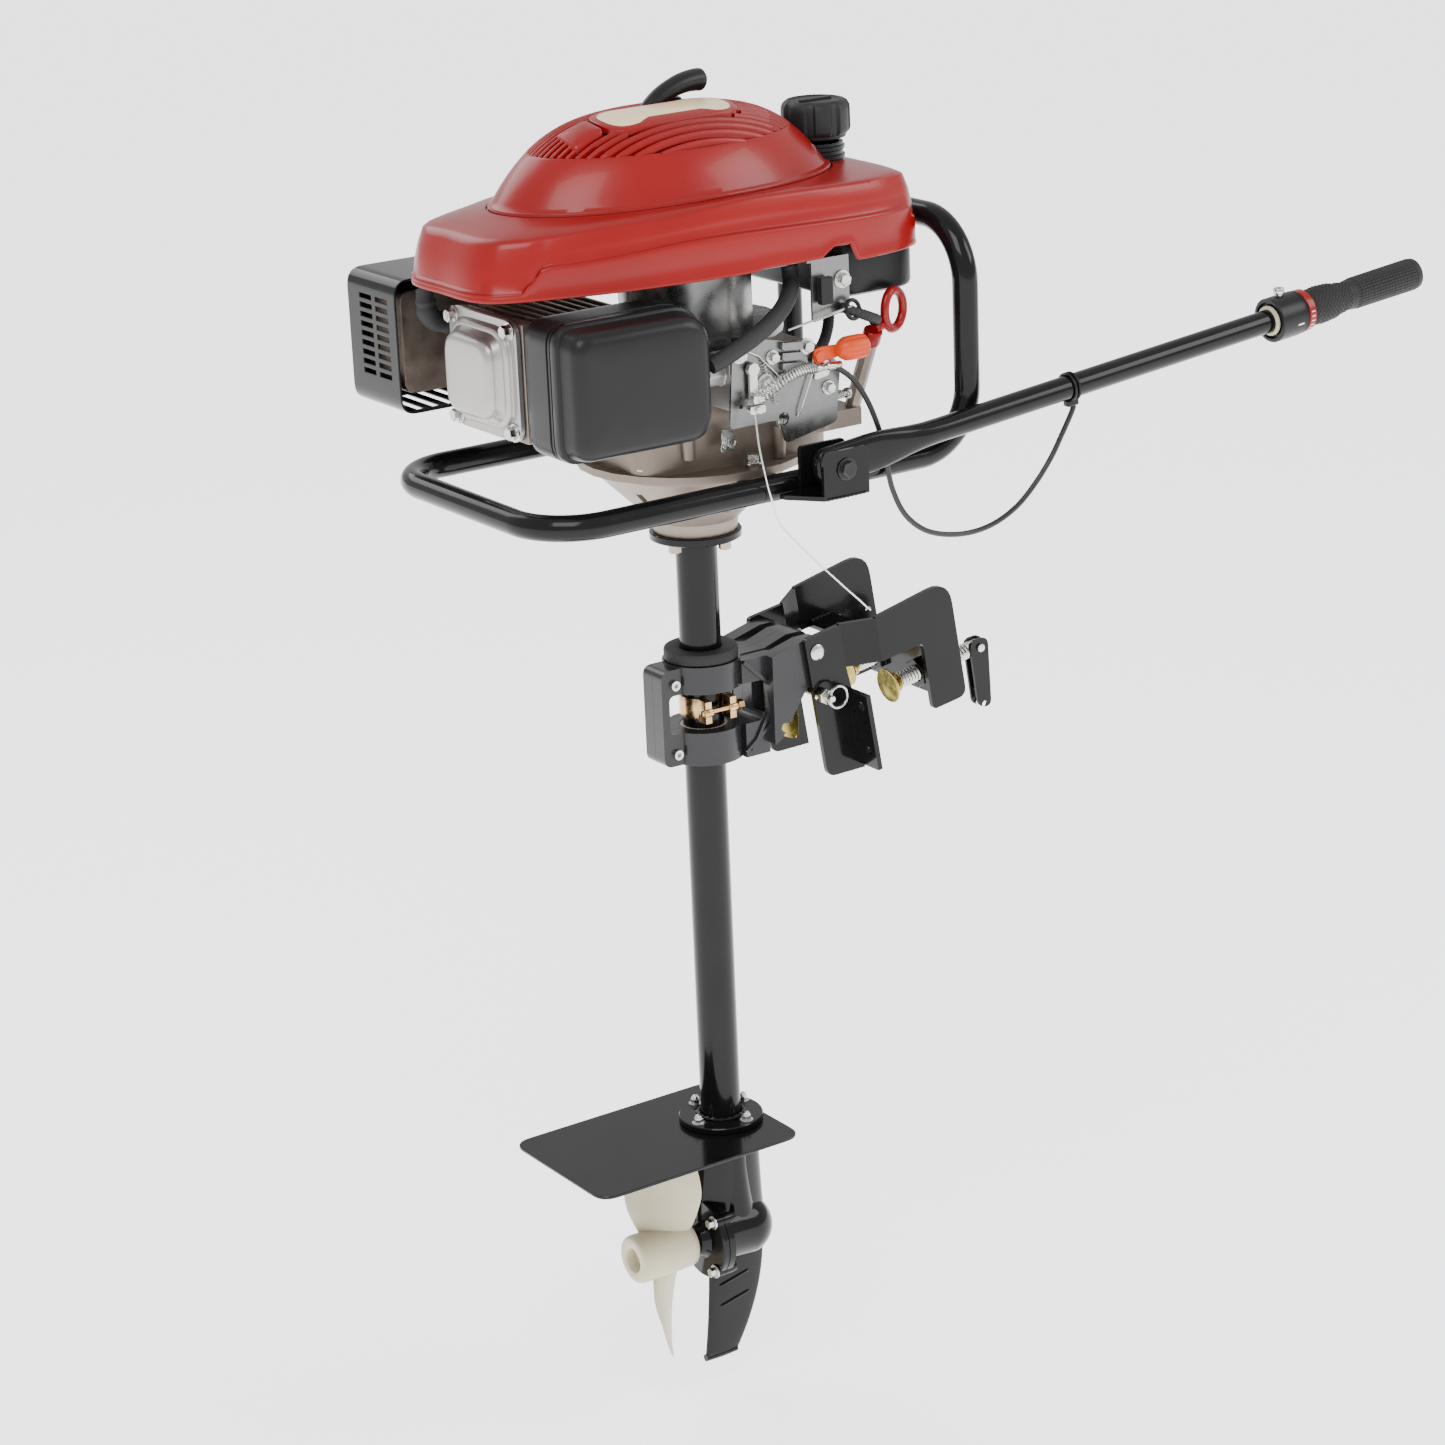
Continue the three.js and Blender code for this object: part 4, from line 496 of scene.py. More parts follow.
for side, name in ((-1, "starboard"), (1, "port")):
    y = side * CLAMP_Y
    piece(f"clamp_screw_threaded_{name}", [threaded(16, 101, y, CLAMP_W),
        lathe([(0, 11), (5, 11), (6, 16.5), (0, 16.5)], "x", (0, y, CLAMP_W), 24),
        prism(rounded([(y - 3, CLAMP_W - 7.5, 1), (y + 3, CLAMP_W - 7.5, 1), (y + 3, CLAMP_W + 7.5, 1),
        (y - 3, CLAMP_W + 7.5, 1)], steps=3), "x", 100.5, 116, 0.5)], BRACKET, zinc,
        node=f"clamp_screw_{name}")
    extra(f"clamp_pad_{name}", [lathe([(0, 8.4), (9, 8.6), (13.4, 8.9), (16.4, 8.5), (17, 9.3),
        (15.2, 11), (11.5, 11.4), (8.6, 12), (8.2, 16.8), (9.4, 18), (9.4, 18.9), (5.2, 18.9), (5.2, 12),
        (0, 12), (0, 8.4)], "x", (0, y, CLAMP_W), 48)], yellow_zinc, "yellow_zinc", f"clamp_screw_{name}",
        BRACKET)
    dressed(f"clamp_lever_{name}", enamel, 0.0005)
    fitting(f"lever_pivot_{name}", [lathe([(0, -9.2), (3.2, -9), (4, -8.2), (4, -6.2), (2.4, -6.2),
        (2.4, 6.2), (4, 6.2), (4, 8.2), (3.2, 9), (0, 9.2)], "y", (115, y, CLAMP_W), 24)],
        f"clamp_lever_{name}", BRACKET)

# ---- Swivel housing, bushes and latch -------------------------------------
# Two nylon halves screwed together round the leg, with a window for the
# friction clamp; the pressed latch below the pin holds the leg down.
moulded = surface("moulded black nylon", (0.016, 0.016, 0.018), 0.27, shade=0.2, grain=0.0012,
    depth=0.012, spread=0.2, wear=(0.05, 0.05, 0.055), coat=0.15)
pale_nylon = surface("natural nylon", (0.58, 0.52, 0.36), 0.36, shade=0.05, grain=0.0012, depth=0.01,
    patch=0.03)
for node in ("swivel_half_port", "swivel_half_starboard"):
    dressed(node, moulded, 0.0011)
for node in ("upper_bush", "lower_bush"):
    dressed(node, pale_nylon, 0.0003)
matt_rubber = surface("matt black rubber", (0.020, 0.020, 0.021), 0.62, shade=0.15, depth=0.03)
collar_low, collar_high = [c.z * 1000 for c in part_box("thrust_collar")]
piece("thrust_collar_turned", [lathe([(19.2, collar_low), (33, collar_low), (34, collar_low + 1),
    (34, collar_high - 2.4), (33.2, collar_high - 0.8), (31.6, collar_high), (22, collar_high),
    (19.2, collar_high - 1), (19.2, collar_low)], "z", (0, 0, 0), 96)], LEG, matt_rubber,
    node="thrust_collar")
for side in (-1, 1):
    for row, z in (("upper", 4), ("lower", -62)):
        y = side * 15.1
        fitting(f"housing_screw_{row}_{'port' if side > 0 else 'starboard'}",
            [lathe([(0, y - side * 0.4), (2.2, y - side * 0.4), (2.2, y + side * 3.2),
            (4.6, y + side * 3.2), (4.8, y + side * 0.2), (4.8, y)], "y", (-40, 0, z), 24)], "swivel")
dressed("tilt_latch", yellow_zinc, 0.0005)
copper = surface("yellow chromate on the clamp", (0.62, 0.40, 0.20), 0.26, 1.0, shade=0.3, grain=0.0012,
    depth=0.004, patch=0.006, spread=0.3)
BAND_MID = -24.5
band_rings = []
for k in range(73):
    a = radians(-55 + 290 * k / 72)
    dx, dy = cos(a), sin(a)
    band_rings.append([(dx * 19.3, dy * 19.3, BAND_MID - 10), (dx * 21.4, dy * 21.4, BAND_MID - 10),
        (dx * 21.8, dy * 21.8, BAND_MID - 9.2), (dx * 21.8, dy * 21.8, BAND_MID + 9.2),
        (dx * 21.4, dy * 21.4, BAND_MID + 10), (dx * 19.3, dy * 19.3, BAND_MID + 10)])
clamp_parts = [loft(band_rings)]
for x in (-13.5, 13.5):
    clamp_parts.append(prism(rounded([(x - 3.4, -30, 1), (x + 3.4, -30, 1), (x + 3.4, -17, 1),
        (x - 3.4, -17, 1)], steps=3), "z", BAND_MID - 10.5, BAND_MID + 10.5, 0.4))
    clamp_parts.append(lathe([(0, x - 4.4), (4.2, x - 4.4), (4.6, x - 3.6), (4.6, x + 3.6),
        (4.2, x + 4.4), (0, x + 4.4)], "x", (0, -27.5, BAND_MID), 24))
clamp_parts.append(lathe([(0, -21), (2.5, -20.4), (2.5, 20), (0, 20.4)], "x", (0, -27.5, BAND_MID), 20))
clamp_parts.append(prism(hexagon(9, (-27.5, BAND_MID), 0.2), "x", 19, 25, 0.5))
piece("friction_clamp", clamp_parts, LEG, copper, node="friction_band")

# ---- Drive leg and lower unit ---------------------------------------------
# Steel tube with welded flanges, a flat cavitation plate, and a cast gearcase
# with its skeg; all enamelled black.
tube_bottom, tube_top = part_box("leg_tube")[0].z * 1000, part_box("leg_tube")[1].z * 1000
piece("leg_tube_drawn", [lathe([(16, tube_bottom), (19, tube_bottom), (19, tube_top), (16, tube_top),
    (16, tube_bottom)], "z", (0, 0, 0), 96)], LEG, enamel, node="leg_tube")
FOOT = -434  # top of the lower flange
HEAD = 141
piece("head_flange_turned", [lathe([(16, HEAD - 7), (41, HEAD - 7), (42, HEAD - 6.2), (42, HEAD - 0.8),
    (41.2, HEAD), (16, HEAD), (16, HEAD - 7)], "z", (0, 0, 0), 96)], LEG, enamel, node="head_flange")
tan_bolt = surface("dull zinc nuts", (0.46, 0.38, 0.32), 0.4, 0.9, shade=0.15, grain=0.0012, depth=0.01)
for k in range(4):
    a = radians(20 + 90 * k)
    extra(f"head_nut_{k}", bolt("z", (32 * cos(a), 32 * sin(a), HEAD - 7.05), -1, 10, 7.4, washer=False),
        tan_bolt, "bright_zinc")
piece("foot_flange_turned", [lathe([(16, FOOT - 6), (39.2, FOOT - 6), (40, FOOT - 5.2), (40, FOOT - 0.8),
    (39.2, FOOT), (16, FOOT), (16, FOOT - 6)], "z", (0, 0, 0), 96)], LEG, enamel, node="foot_flange")
seam = [(21.2 * cos(2 * pi * k / 90), 21.2 * sin(2 * pi * k / 90), FOOT + 1.1) for k in range(90)]
seam_beads = [2.1 + 0.5 * sin(k * 1.4) + 0.3 * sin(k * 0.37) for k in range(90)]
extra("foot_weld", [loft(sweep(seam, seam_beads, 10), wrap=True)], enamel, "black_paint")
for k in range(4):
    a = radians(15 + 90 * k)
    x, y = 32 * cos(a), 32 * sin(a)
    fitting(f"foot_dome_nut_{k}", [lathe([(0, FOOT), (6.4, FOOT), (6.4, FOOT + 1), (0, FOOT + 1)], "z",
        (x, y, 0), 28), prism(hexagon(8, (x, y), a), "z", FOOT + 1, FOOT + 5.4, 0.4),
        lathe([(3.7, FOOT + 5), (3.6, FOOT + 6.6), (2.6, FOOT + 8.2), (1.2, FOOT + 8.9), (0, FOOT + 9)],
        "z", (x, y, 0), 24)])
low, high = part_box("cavitation_plate")
plate_top, plate_base = high.z * 1000, low.z * 1000
plate_line = rounded([(-184, -78), (39, -78), (39, 78), (-184, 78)], 18, 10)
piece("cavitation_plate_cut", [prism(plate_line, "z", plate_base, plate_top, 0.5)], LEG, enamel,
    node="cavitation_plate")

# ---- Gearcase and skeg ----------------------------------------------------
# One aluminium casting: a streamlined strut that swells over the drive shaft,
# a torpedo for the bevel gears and a skeg with two short ridges.
PROP = FOOT - 123
case_top = plate_base - 0.3
strut = []
for level in range(15):
    t = level / 14
    z = case_top - 8 + (PROP - case_top + 8) * t
    swell = 1 + 0.10 * t * t
    strut.append([(5 + 35 * cos(a) * swell, 16 * sin(a) * (1 if cos(a) > 0 else 1 - 0.35 * cos(a) ** 2)
        * swell, z) for a in turns(64)])
bulge = []
for level in range(13):
    t = level / 12
    z = case_top - 30 + (PROP + 8 - case_top + 30) * t
    r = 15.5 + 7.5 * t * t
    bulge.append([(8 + r * cos(a), (r + 2.2) * sin(a), z) for a in turns(40)])
nose = [(0, -22), (40, -22), (40, -15.6), (39.2, -15), (32, -15), (31, -13), (30, -10),
    (30, 18)] + [(30 * cos(a), 18 + 30 * sin(a)) for a in (pi / 2 * k / 14 for k in range(1, 14))] + [(0,
    48)]
skeg_rings = []
for k in range(25):
    t = k / 24
    z = PROP - 10 - 121 * t
    rear = -21 - 9 * t * t
    front = 42 - 36 * t ** 2.2
    middle, half = (rear + front) / 2, (front - rear) / 2
    thick = 3.6 - 0.6 * t
    skeg_rings.append([(middle + half * cos(a), thick * (abs(sin(a)) ** 0.55)
        * (1 if sin(a) >= 0 else -1), z) for a in turns(48)])
foot_bead = [(-30, 0, PROP - 129), (-12, 0, PROP - 129.6), (6, 0, PROP - 129)]
ridges = [loft(sweep(through([(-12, side * 3.4, z - 4), (6, side * 3.6, z), (22, side * 3.2, z + 3)], 8),
    [0.5] + [1.5] * 15 + [0.5], 10)) for side in (-1, 1) for z in (PROP - 52, PROP - 74)]
lugs = [lathe([(0, -22), (6.2, -22), (6.2, -14), (5.2, -9), (0, -8)], "x",
    (0, 36 * cos(radians(45 + 90 * k)), PROP + 36 * sin(radians(45 + 90 * k))), 24) for k in range(4)]
piece("gearcase_cast", [lathe([(0, case_top - 8), (38.6, case_top - 8), (40, case_top - 6.6),
    (40, case_top - 1), (39, case_top), (0, case_top)], "z", (0, 0, 0), 96), loft(strut), loft(bulge),
    lathe(nose, "x", (0, 0, PROP), 96), loft(skeg_rings), loft(sweep(through(foot_bead, 8), 3.6, 16)),
    *ridges, *lugs], LEG, enamel, node="gearcase")
piece("gearcase_cap_cast", [lathe([(7.8, -38), (15, -38), (16.4, -36.6), (17.5, -33), (20, -30),
    (38.8, -29.2), (40, -28), (40, -23), (39.4, -22.4), (7.8, -22.4), (7.8, -38)], "x", (0, 0, PROP),
    96)] + [lathe([(0, -30.4), (6.4, -30.4), (6.4, -22.6), (0, -22.6)], "x",
    (0, 36 * cos(radians(45 + 90 * k)), PROP + 36 * sin(radians(45 + 90 * k))), 24) for k in range(4)],
    LEG, enamel, node="gearcase_cap")
for k in range(4):
    a = radians(45 + 90 * k)
    fitting(f"cap_bolt_{k}", bolt("x", (-30.5, 36 * cos(a), PROP + 36 * sin(a)), -1, 8, 5.5,
        collar=False))
for node in ("crankshaft", "drive_shaft", "bevel_gear", "propeller_shaft"):
    dressed(node, zinc, 0.0003)

# ---- Propeller ------------------------------------------------------------
# Two twisted blades and a long hub, moulded in one piece in natural nylon,
# with a deep socket at the rear for the shear pin and nut.
sections = [(14, 42, 62, 10, 0), (24, 54, 58, 9, 0), (42, 68, 50, 7, -1), (60, 76, 42, 5.6, 0),
    (78, 74, 37, 4.6, 1), (92, 66, 34, 3.8, 2), (101, 52, 32, 3.2, 3), (106, 37, 31, 2.6, 3),
    (108.4, 18, 31, 1.8, 3)]


def blade(turn):
    rings = []
    for radius, chord, pitch, thick, rake in sections:
        a = radians(90 - pitch)
        ring = []
        for k in range(40):
            u = cos(2 * pi * k / 40)
            v = sin(2 * pi * k / 40) * (1 - 0.25 * u) * 0.5
            along, across = u * chord / 2, v * thick + 1.8 * (1 - u * u)
            p = Vector((-70 + rake + along * cos(a) - across * sin(a),
                -(along * sin(a) + across * cos(a)), radius))
            ring.append(Matrix.Rotation(turn, 3, "X") @ p + Vector((0, 0, PROP)))
        rings.append(ring)
    smooth = [through([ring[j] for ring in rings], 4) for j in range(40)]
    return loft([[column[i] for column in smooth] for i in range(len(smooth[0]))])


piece("propeller_moulded", [lathe([(7.4, -96), (11.5, -96.5), (12, -106), (13, -107), (20, -107),
    (22.4, -105.6), (23.6, -102), (23.4, -80), (23, -50), (22, -45), (20.6, -44), (7.4, -44), (7.4, -96)],
    "x", (0, 0, PROP), 96), blade(0), blade(pi)], LEG, pale_nylon, node="propeller", sharp=50)

# ---- Bell housing, crankcase and cylinder ---------------------------------
# Sand-cast aluminium, left grey-brown: a ribbed funnel over the leg, the
# crankcase bolted down on it and a finned cylinder lying to the rear.
cast = surface("cast aluminium", (0.27, 0.225, 0.19), 0.46, 0.7, shade=0.10, grain=0.0018, depth=0.05,
    patch=0.03, spread=0.2, wear=(0.42, 0.38, 0.34))
bright_cast = surface("bright casting", (0.42, 0.405, 0.395), 0.36, 0.75, shade=0.06, grain=0.0016,
    spread=0.2)
for node in ("bell_housing", "crankcase", "cylinder", "flywheel"):
    dressed(node, cast, 0.0011)
for k in range(6):
    a = radians(30 + 60 * k)
    fitting(f"crankcase_bolt_{k}", bolt("z", (95 * cos(a), 95 * sin(a), 219.3), 1, 10, 6))
for k, (x, z) in enumerate(((-52, 262), (38, 250), (84, 268))):
    y = {0: -78, 1: -86.5, 2: -86.5}[k]
    extra(f"crankcase_boss_{k}", [lathe([(0, y + 12), (9, y + 12), (7.6, y - 3), (6.6, y - 4),
        (0, y - 4)], "y", (x, 0, z), 32), lathe([(7, z + 1), (6.4, z - 12), (5.4, z - 34), (0, z - 36),
        (0, z + 1)], "z", (x, y + 4, 0), 24)], cast, "cast_aluminium")
    fitting(f"case_bolt_{k}", bolt("y", (x, y - 4, z), -1, 8, 4.5))
for k in range(5):
    z = 226 + 9 * k
    rib = [(98 - 2 * k, -66 + 1.5 * k, z), (104 - 2 * k, -48, z + 2), (108 - 2 * k, -26, z + 6)]
    extra(f"crankcase_rib_{k}", [loft(sweep(through(rib, 6), [0.6] + [1.5] * 11 + [0.6], 8))], cast,
        "cast_aluminium")

# ---- Valve cover ----------------------------------------------------------
# A bright die casting at the rear of the head: a flange with four bolts and a
# stepped hump with soft edges.


def stack(rect, radii, axis, levels, steps=6):
    """Rings of a rounded rectangle, one for each (inset, distance) of a profile."""
    u0, v0, u1, v1 = rect
    rings = []
    for inset, h in levels:
        ring = rounded([(u0 + inset, v0 + inset, max(radii[0] - inset * 0.6, 2)),
            (u1 - inset, v0 + inset, max(radii[1] - inset * 0.6, 2)),
            (u1 - inset, v1 - inset, max(radii[2] - inset * 0.6, 2)),
            (u0 + inset, v1 - inset, max(radii[3] - inset * 0.6, 2))], steps=steps)
        rings.append([{"x": (h, a, b), "y": (a, h, b), "z": (a, b, h)}[axis] for a, b in ring])
    return loft(rings)


def fillet(inset, start, end, radius, steps=6):
    """A profile up a draughted wall that rolls over into the face."""
    way = 1 if end > start else -1
    turn = [(inset + radius * (1 - cos(pi / 2 * k / steps)),
        end - way * radius * (1 - sin(pi / 2 * k / steps))) for k in range(steps + 1)]
    return [(inset - 1.5, start)] + turn


HEAD_FACE = -202.3
piece("valve_cover_cast", [stack((-52, 264, 58, 370), (16, 16, 16, 16), "x",
    [(0, HEAD_FACE), (0, HEAD_FACE - 4), (1, HEAD_FACE - 5)]),
    stack((-52, 264, 58, 370), (30, 30, 30, 30), "x", fillet(8, HEAD_FACE - 4, HEAD_FACE - 10.5, 4)
    + [(13.4, HEAD_FACE - 10.7)] + fillet(17, HEAD_FACE - 10, HEAD_FACE - 24, 8, 8)[1:]
    + [(30, HEAD_FACE - 24.6), (42, HEAD_FACE - 25)])], LEG, bright_cast, node="valve_cover")
for k, (y, z) in enumerate(((-43, 273), (-43, 361), (49, 361), (49, 273))):
    fitting(f"cover_bolt_{k}", bolt("x", (HEAD_FACE - 5, y, z), -1, 10, 5.5))

# ---- Spark plug boot, muffler and its guard -------------------------------
# The exhaust box sits in a folded sheet guard with slots for the heat; the
# moulded boot and lead of the spark plug come down beside the head.
dressed("muffler_guard", enamel, 0.0007)
exhaust = surface("heat-tinted steel", (0.16, 0.13, 0.11), 0.5, 0.85, shade=0.3, grain=0.0016, patch=0.02)
dressed("muffler", exhaust, 0.002)
boot_line = through([(-190, 74, 350), (-204, 74, 350), (-213, 74, 353), (-219, 74, 361), (-220, 74, 371),
    (-220, 74, 381)], 6)
boot_r = [9.4, 9.4, 9.2, 9.2, 10.4, 10.4, 9.2] + [9] * 8 + [9.4] * 6 + [8.4, 8.4, 9.4, 9.4, 8.4,
    8.4] + [8] * 4
piece("spark_plug_boot_moulded", [loft(sweep(boot_line, (boot_r + [7.4] * 40)[:len(boot_line)], 32))],
    LEG, matt_rubber, node="spark_plug_boot")

# ---- Air filter -----------------------------------------------------------
# A two-part moulding beside the carburettor: a deep base with a shouldered
# flange, and a cover with a broad rounded edge and a slightly crowned face.
plastic = surface("black plastic", (0.009, 0.009, 0.010), 0.34, shade=0.15, depth=0.012, gloss=0.24)
filter_rect = (-212, 258, -66, 377)
filter_corners = (20, 26, 32, 20)
piece("air_filter_base_moulded", [stack(filter_rect, filter_corners, "y",
    [(9, -71), (4, -71.6), (1.6, -73), (0.6, -76), (0, -84), (0, -108), (1.6, -108.6), (1.6, -110.6),
    (0, -111.2), (0, -113.7), (3, -113.9), (3.4, -104)], 8)], LEG, plastic, node="air_filter_base")
piece("air_filter_cover_moulded", [stack(filter_rect, filter_corners, "y",
    [(3, -110), (3, -114.4), (0.4, -114.4), (0, -115.2), (0, -121), (0.5, -123), (1.8, -124.2),
    (3, -124.6)] + [(3.4 + 0.25 * k, -125.4 - 2.2 * k) for k in range(1, 6)]
    + [(4.8 + 12 * (1 - cos(pi / 2 * k / 8)), -137 - 11.6 * sin(pi / 2 * k / 8)) for k in range(1, 9)]
    + [(20, -149.1), (32, -149.6), (46, -149.9)], 8)], LEG, plastic, node="air_filter_cover")

# ---- Carburettor, control plate and springs -------------------------------
# Bright castings and zinc-plated pressings: the carburettor body, a stamped
# plate that carries the throttle and choke levers, the wire clamp and springs.
dressed("carburettor", bright_cast, 0.0016)
plate_metal = surface("dull zinc sheet", (0.19, 0.195, 0.19), 0.3, 0.95, shade=0.16, depth=0.004,
    patch=0.012, spread=0.3)
dressed("control_plate", plate_metal, 0.0004)
dressed("throttle_lever", zinc, 0.0004)


def coil(start, end, radius, turns, wire=0.55, bow=(0, 0, 0), per=14):
    """A wire spring between two hooks, bowed at its middle."""
    start, end, bow = Vector(start), Vector(end), Vector(bow)
    along = (end - start).normalized()
    side = along.cross(Vector((0.3, 1, 0.2))).normalized()
    other = along.cross(side)
    line = []
    for k in range(turns * per + 1):
        t = k / (turns * per)
        a = 2 * pi * k / per
        reach = radius * min(1, 12 * t, 12 * (1 - t))
        line.append(start.lerp(end, t) + bow * (4 * t * (1 - t)) + side * reach * cos(a) + other * reach
            * sin(a))
    return loft(sweep(line, wire, 7))


fitting("throttle_spring", [coil((-22, -137, 284), (47, -133, 302), 4.6, 22, 0.65, (4, 0, 9))])
fitting("governor_spring", [coil((-8, -128, 318), (6, -128, 276), 1.6, 16, 0.4)])
fitting("wire_clamp", [prism(rounded([(-32, 276), (-16, 276), (-16, 283), (-32, 283)], 2, 4), "y", -135.2,
    -143, 0.5), lathe([(0, -146), (3, -146), (3.4, -145.4), (3.4, -143), (0, -143)], "y", (-24, 0, 279.5),
    24), lathe([(0, -22.5), (3.2, -22.5), (3.6, -21.9), (3.6, -17), (0, -17)], "x", (0, -139, 287), 24),
    prism(rounded([(-27, 284), (-18, 284), (-18, 291), (-27, 291)], 2, 4), "y", -134.8, -141, 0.5)])
fitting("cable_stop", [prism(rounded([(46, 291), (62, 293), (64, 308), (50, 312)], 3, 4), "y", -125.6,
    -128, 0.3), lathe([(1.2, 45), (3.2, 45), (3.2, 50), (2.6, 51), (2.6, 56), (3.4, 57), (3.4, 70),
    (2.8, 71), (1.2, 71)], "x", (0, -133, 302.4), 28), lathe([(0, -131), (4.6, -131), (5, -130.2),
    (5, -128), (0, -128)], "y", (57, 0, 303), 24)])
for k, (x, z, size) in enumerate(((-30, 325, 9), (4, 318, 8), (40, 322, 9), (62, 282, 8), (-4, 296, 11))):
    fitting(f"control_bolt_{k}", bolt("y", (x, -125.4, z), -1, size, 4))
fitting("governor_rod", [loft(sweep([(-28, -127.5, 330), (-12, -128.5, 322), (10, -128, 300),
    (14, -127.6, 292)], 0.8, 8)), loft(sweep([(28, -126.8, 262), (30, -128.6, 268), (44, -129, 300),
    (46, -127, 312)], 0.8, 8))])
fitting("speed_screw", [threaded(66, 84, -120, 272, 2.6, 0.5, 1.2, 20),
    lathe([(0, 84), (4.4, 84), (4.8, 85), (4.8, 88), (0, 88.6)], "x", (0, -120, 272), 24),
    coil((68, -120, 272), (82, -120, 272), 3.6, 7, 0.5)])
fitting("ground_tab", [prism(rounded([(-30, 232, 4), (-14, 234, 6), (-16, 250, 4), (-28, 254, 4)], 4, 4),
    "y", -89, -91.4, 0.3)] + bolt("y", (-22, -91.4, 242), -1, 9, 4.5))
extra("louvre_block", [prism(rounded([(12, 296 + 9 * k), (34, 294 + 9 * k), (34, 301 + 9 * k),
    (12, 303 + 9 * k)], 2, 3), "y", -125.4, -130.4, 0.6) for k in range(4)], plate_metal, "bright_zinc")
orange = surface("orange plastic", (0.62, 0.055, 0.006), 0.4, shade=0.05)
choke_knob = [(0, 66), (4.6, 66), (5.6, 66.6)] + [(r, x) for r,
    x in ((8, 69), (10.4, 73), (10.8, 78), (10.8, 90), (10.2, 93.4), (8, 95.6), (5, 96.4), (4.2, 95.6),
    (0, 95.6))]
knob_rings = []
for r, x in choke_knob:
    ring = []
    for k in range(96):
        a = 2 * pi * k / 96
        notch = 0.9 * max(0, cos(6 * a)) ** 3 if 72 < x < 94 else 0
        ring.append((x, -136 + (r - notch) * cos(a), 316 + (r - notch) * sin(a)))
    knob_rings.append(ring)
piece("choke_knob", [loft(knob_rings), prism(rounded([(45, 306), (55, 306), (82, 311), (82, 319),
    (52, 320), (45, 318)], 4, 5), "y", -127.6, -130.6, 0.5),
    lathe([(0, -133), (4.6, -133), (5, -132), (5, -127), (0, -127)], "y", (50, 0, 312), 28)], LEG, orange,
    node="choke_lever")

# ---- Hoses, stop switch and dipstick --------------------------------------
# A smooth breather hose from the filter, a ribbed fuel hose from the tank, a
# rocker switch on its bracket and the red pull ring of the oil dipstick.
breather = through([(-65, -133, 323), (-50, -134, 328), (-20, -133, 340), (10, -123, 351),
    (34, -108, 361), (47, -96, 371), (50, -91, 380), (50, -90, 386)], 7)
piece("breather_hose_bent", [loft(sweep(breather, 7.5, 32))], LEG, matt_rubber, node="breather_hose")
fuel = through([(112, -60, 344), (108, -66, 334), (96, -80, 322), (78, -96, 312), (60, -104, 304),
    (40, -106, 300)], 24)
piece("fuel_hose_ribbed", [loft(sweep(fuel, [4.7 + 0.5 * sin(k * 1.5) for k in range(len(fuel))], 20))],
    LEG, matt_rubber, node="fuel_hose")
sheath_wire = through([(84, -118, 348), (98, -124, 342), (112, -122, 336), (126, -112, 330),
    (132, -100, 326)], 16)
extra("switch_lead_sleeve", [loft(sweep(sheath_wire, [4.4 + 0.35 * sin(k * 1.5)
    for k in range(len(sheath_wire))], 20))], matt_rubber, "rubber")
extra("lead_clip", [loft(sweep([(92 + 7 * cos(a), -124 + 5 * sin(a) * 0.4, 346 + 8 * sin(a))
    for a in turns(40)], 1.9, 10), wrap=True)], plastic, "black_plastic")
fitting("straight_rod", [loft(sweep([(24, -122, 338), (92, -123.4, 349)], 1.0, 10))])
dressed("blower_housing", plate_metal, 0.0006)
fitting("switch_bracket_bolt", bolt("y", (88, -114.6, 372), -1, 10, 5))
dressed("stop_switch", plastic, 0.0012)
red = surface("red plastic", (0.24, 0.003, 0.003), 0.3, shade=0.03, depth=0.008, coat=0.1)
ring_path = [(150 + 14.5 * cos(a) * (1 if cos(a) > 0 else 0.85), -104 + 4.6 * cos(a), 334 + 17 * sin(a))
    for a in turns(64)]
lean = radians(25)
plug = [Vector((124, -104 + sin(lean) * h * -1, 308 + cos(lean) * h)) for h in (0.4, 2, 13, 14.2)]
stick = [Vector((124, -104 - sin(lean) * h, 308 + cos(lean) * h)) for h in (0, -36, -68)]
piece("dipstick_moulded", [loft(sweep(ring_path, 4.1, 20), wrap=True),
    loft(sweep(plug, [8.2, 8.6, 8.6, 7.6], 32)), loft(sweep(stick, [1.6, 1.6, 1.2], 12)),
    loft(sweep(through([(124, -109.5, 320), (128, -108, 321), (134, -106, 322), (142, -105, 322.6)], 5),
    [5.4] * 8 + [4.8] * 4 + [3.6] * 4, 20))], LEG, red, node="dipstick")

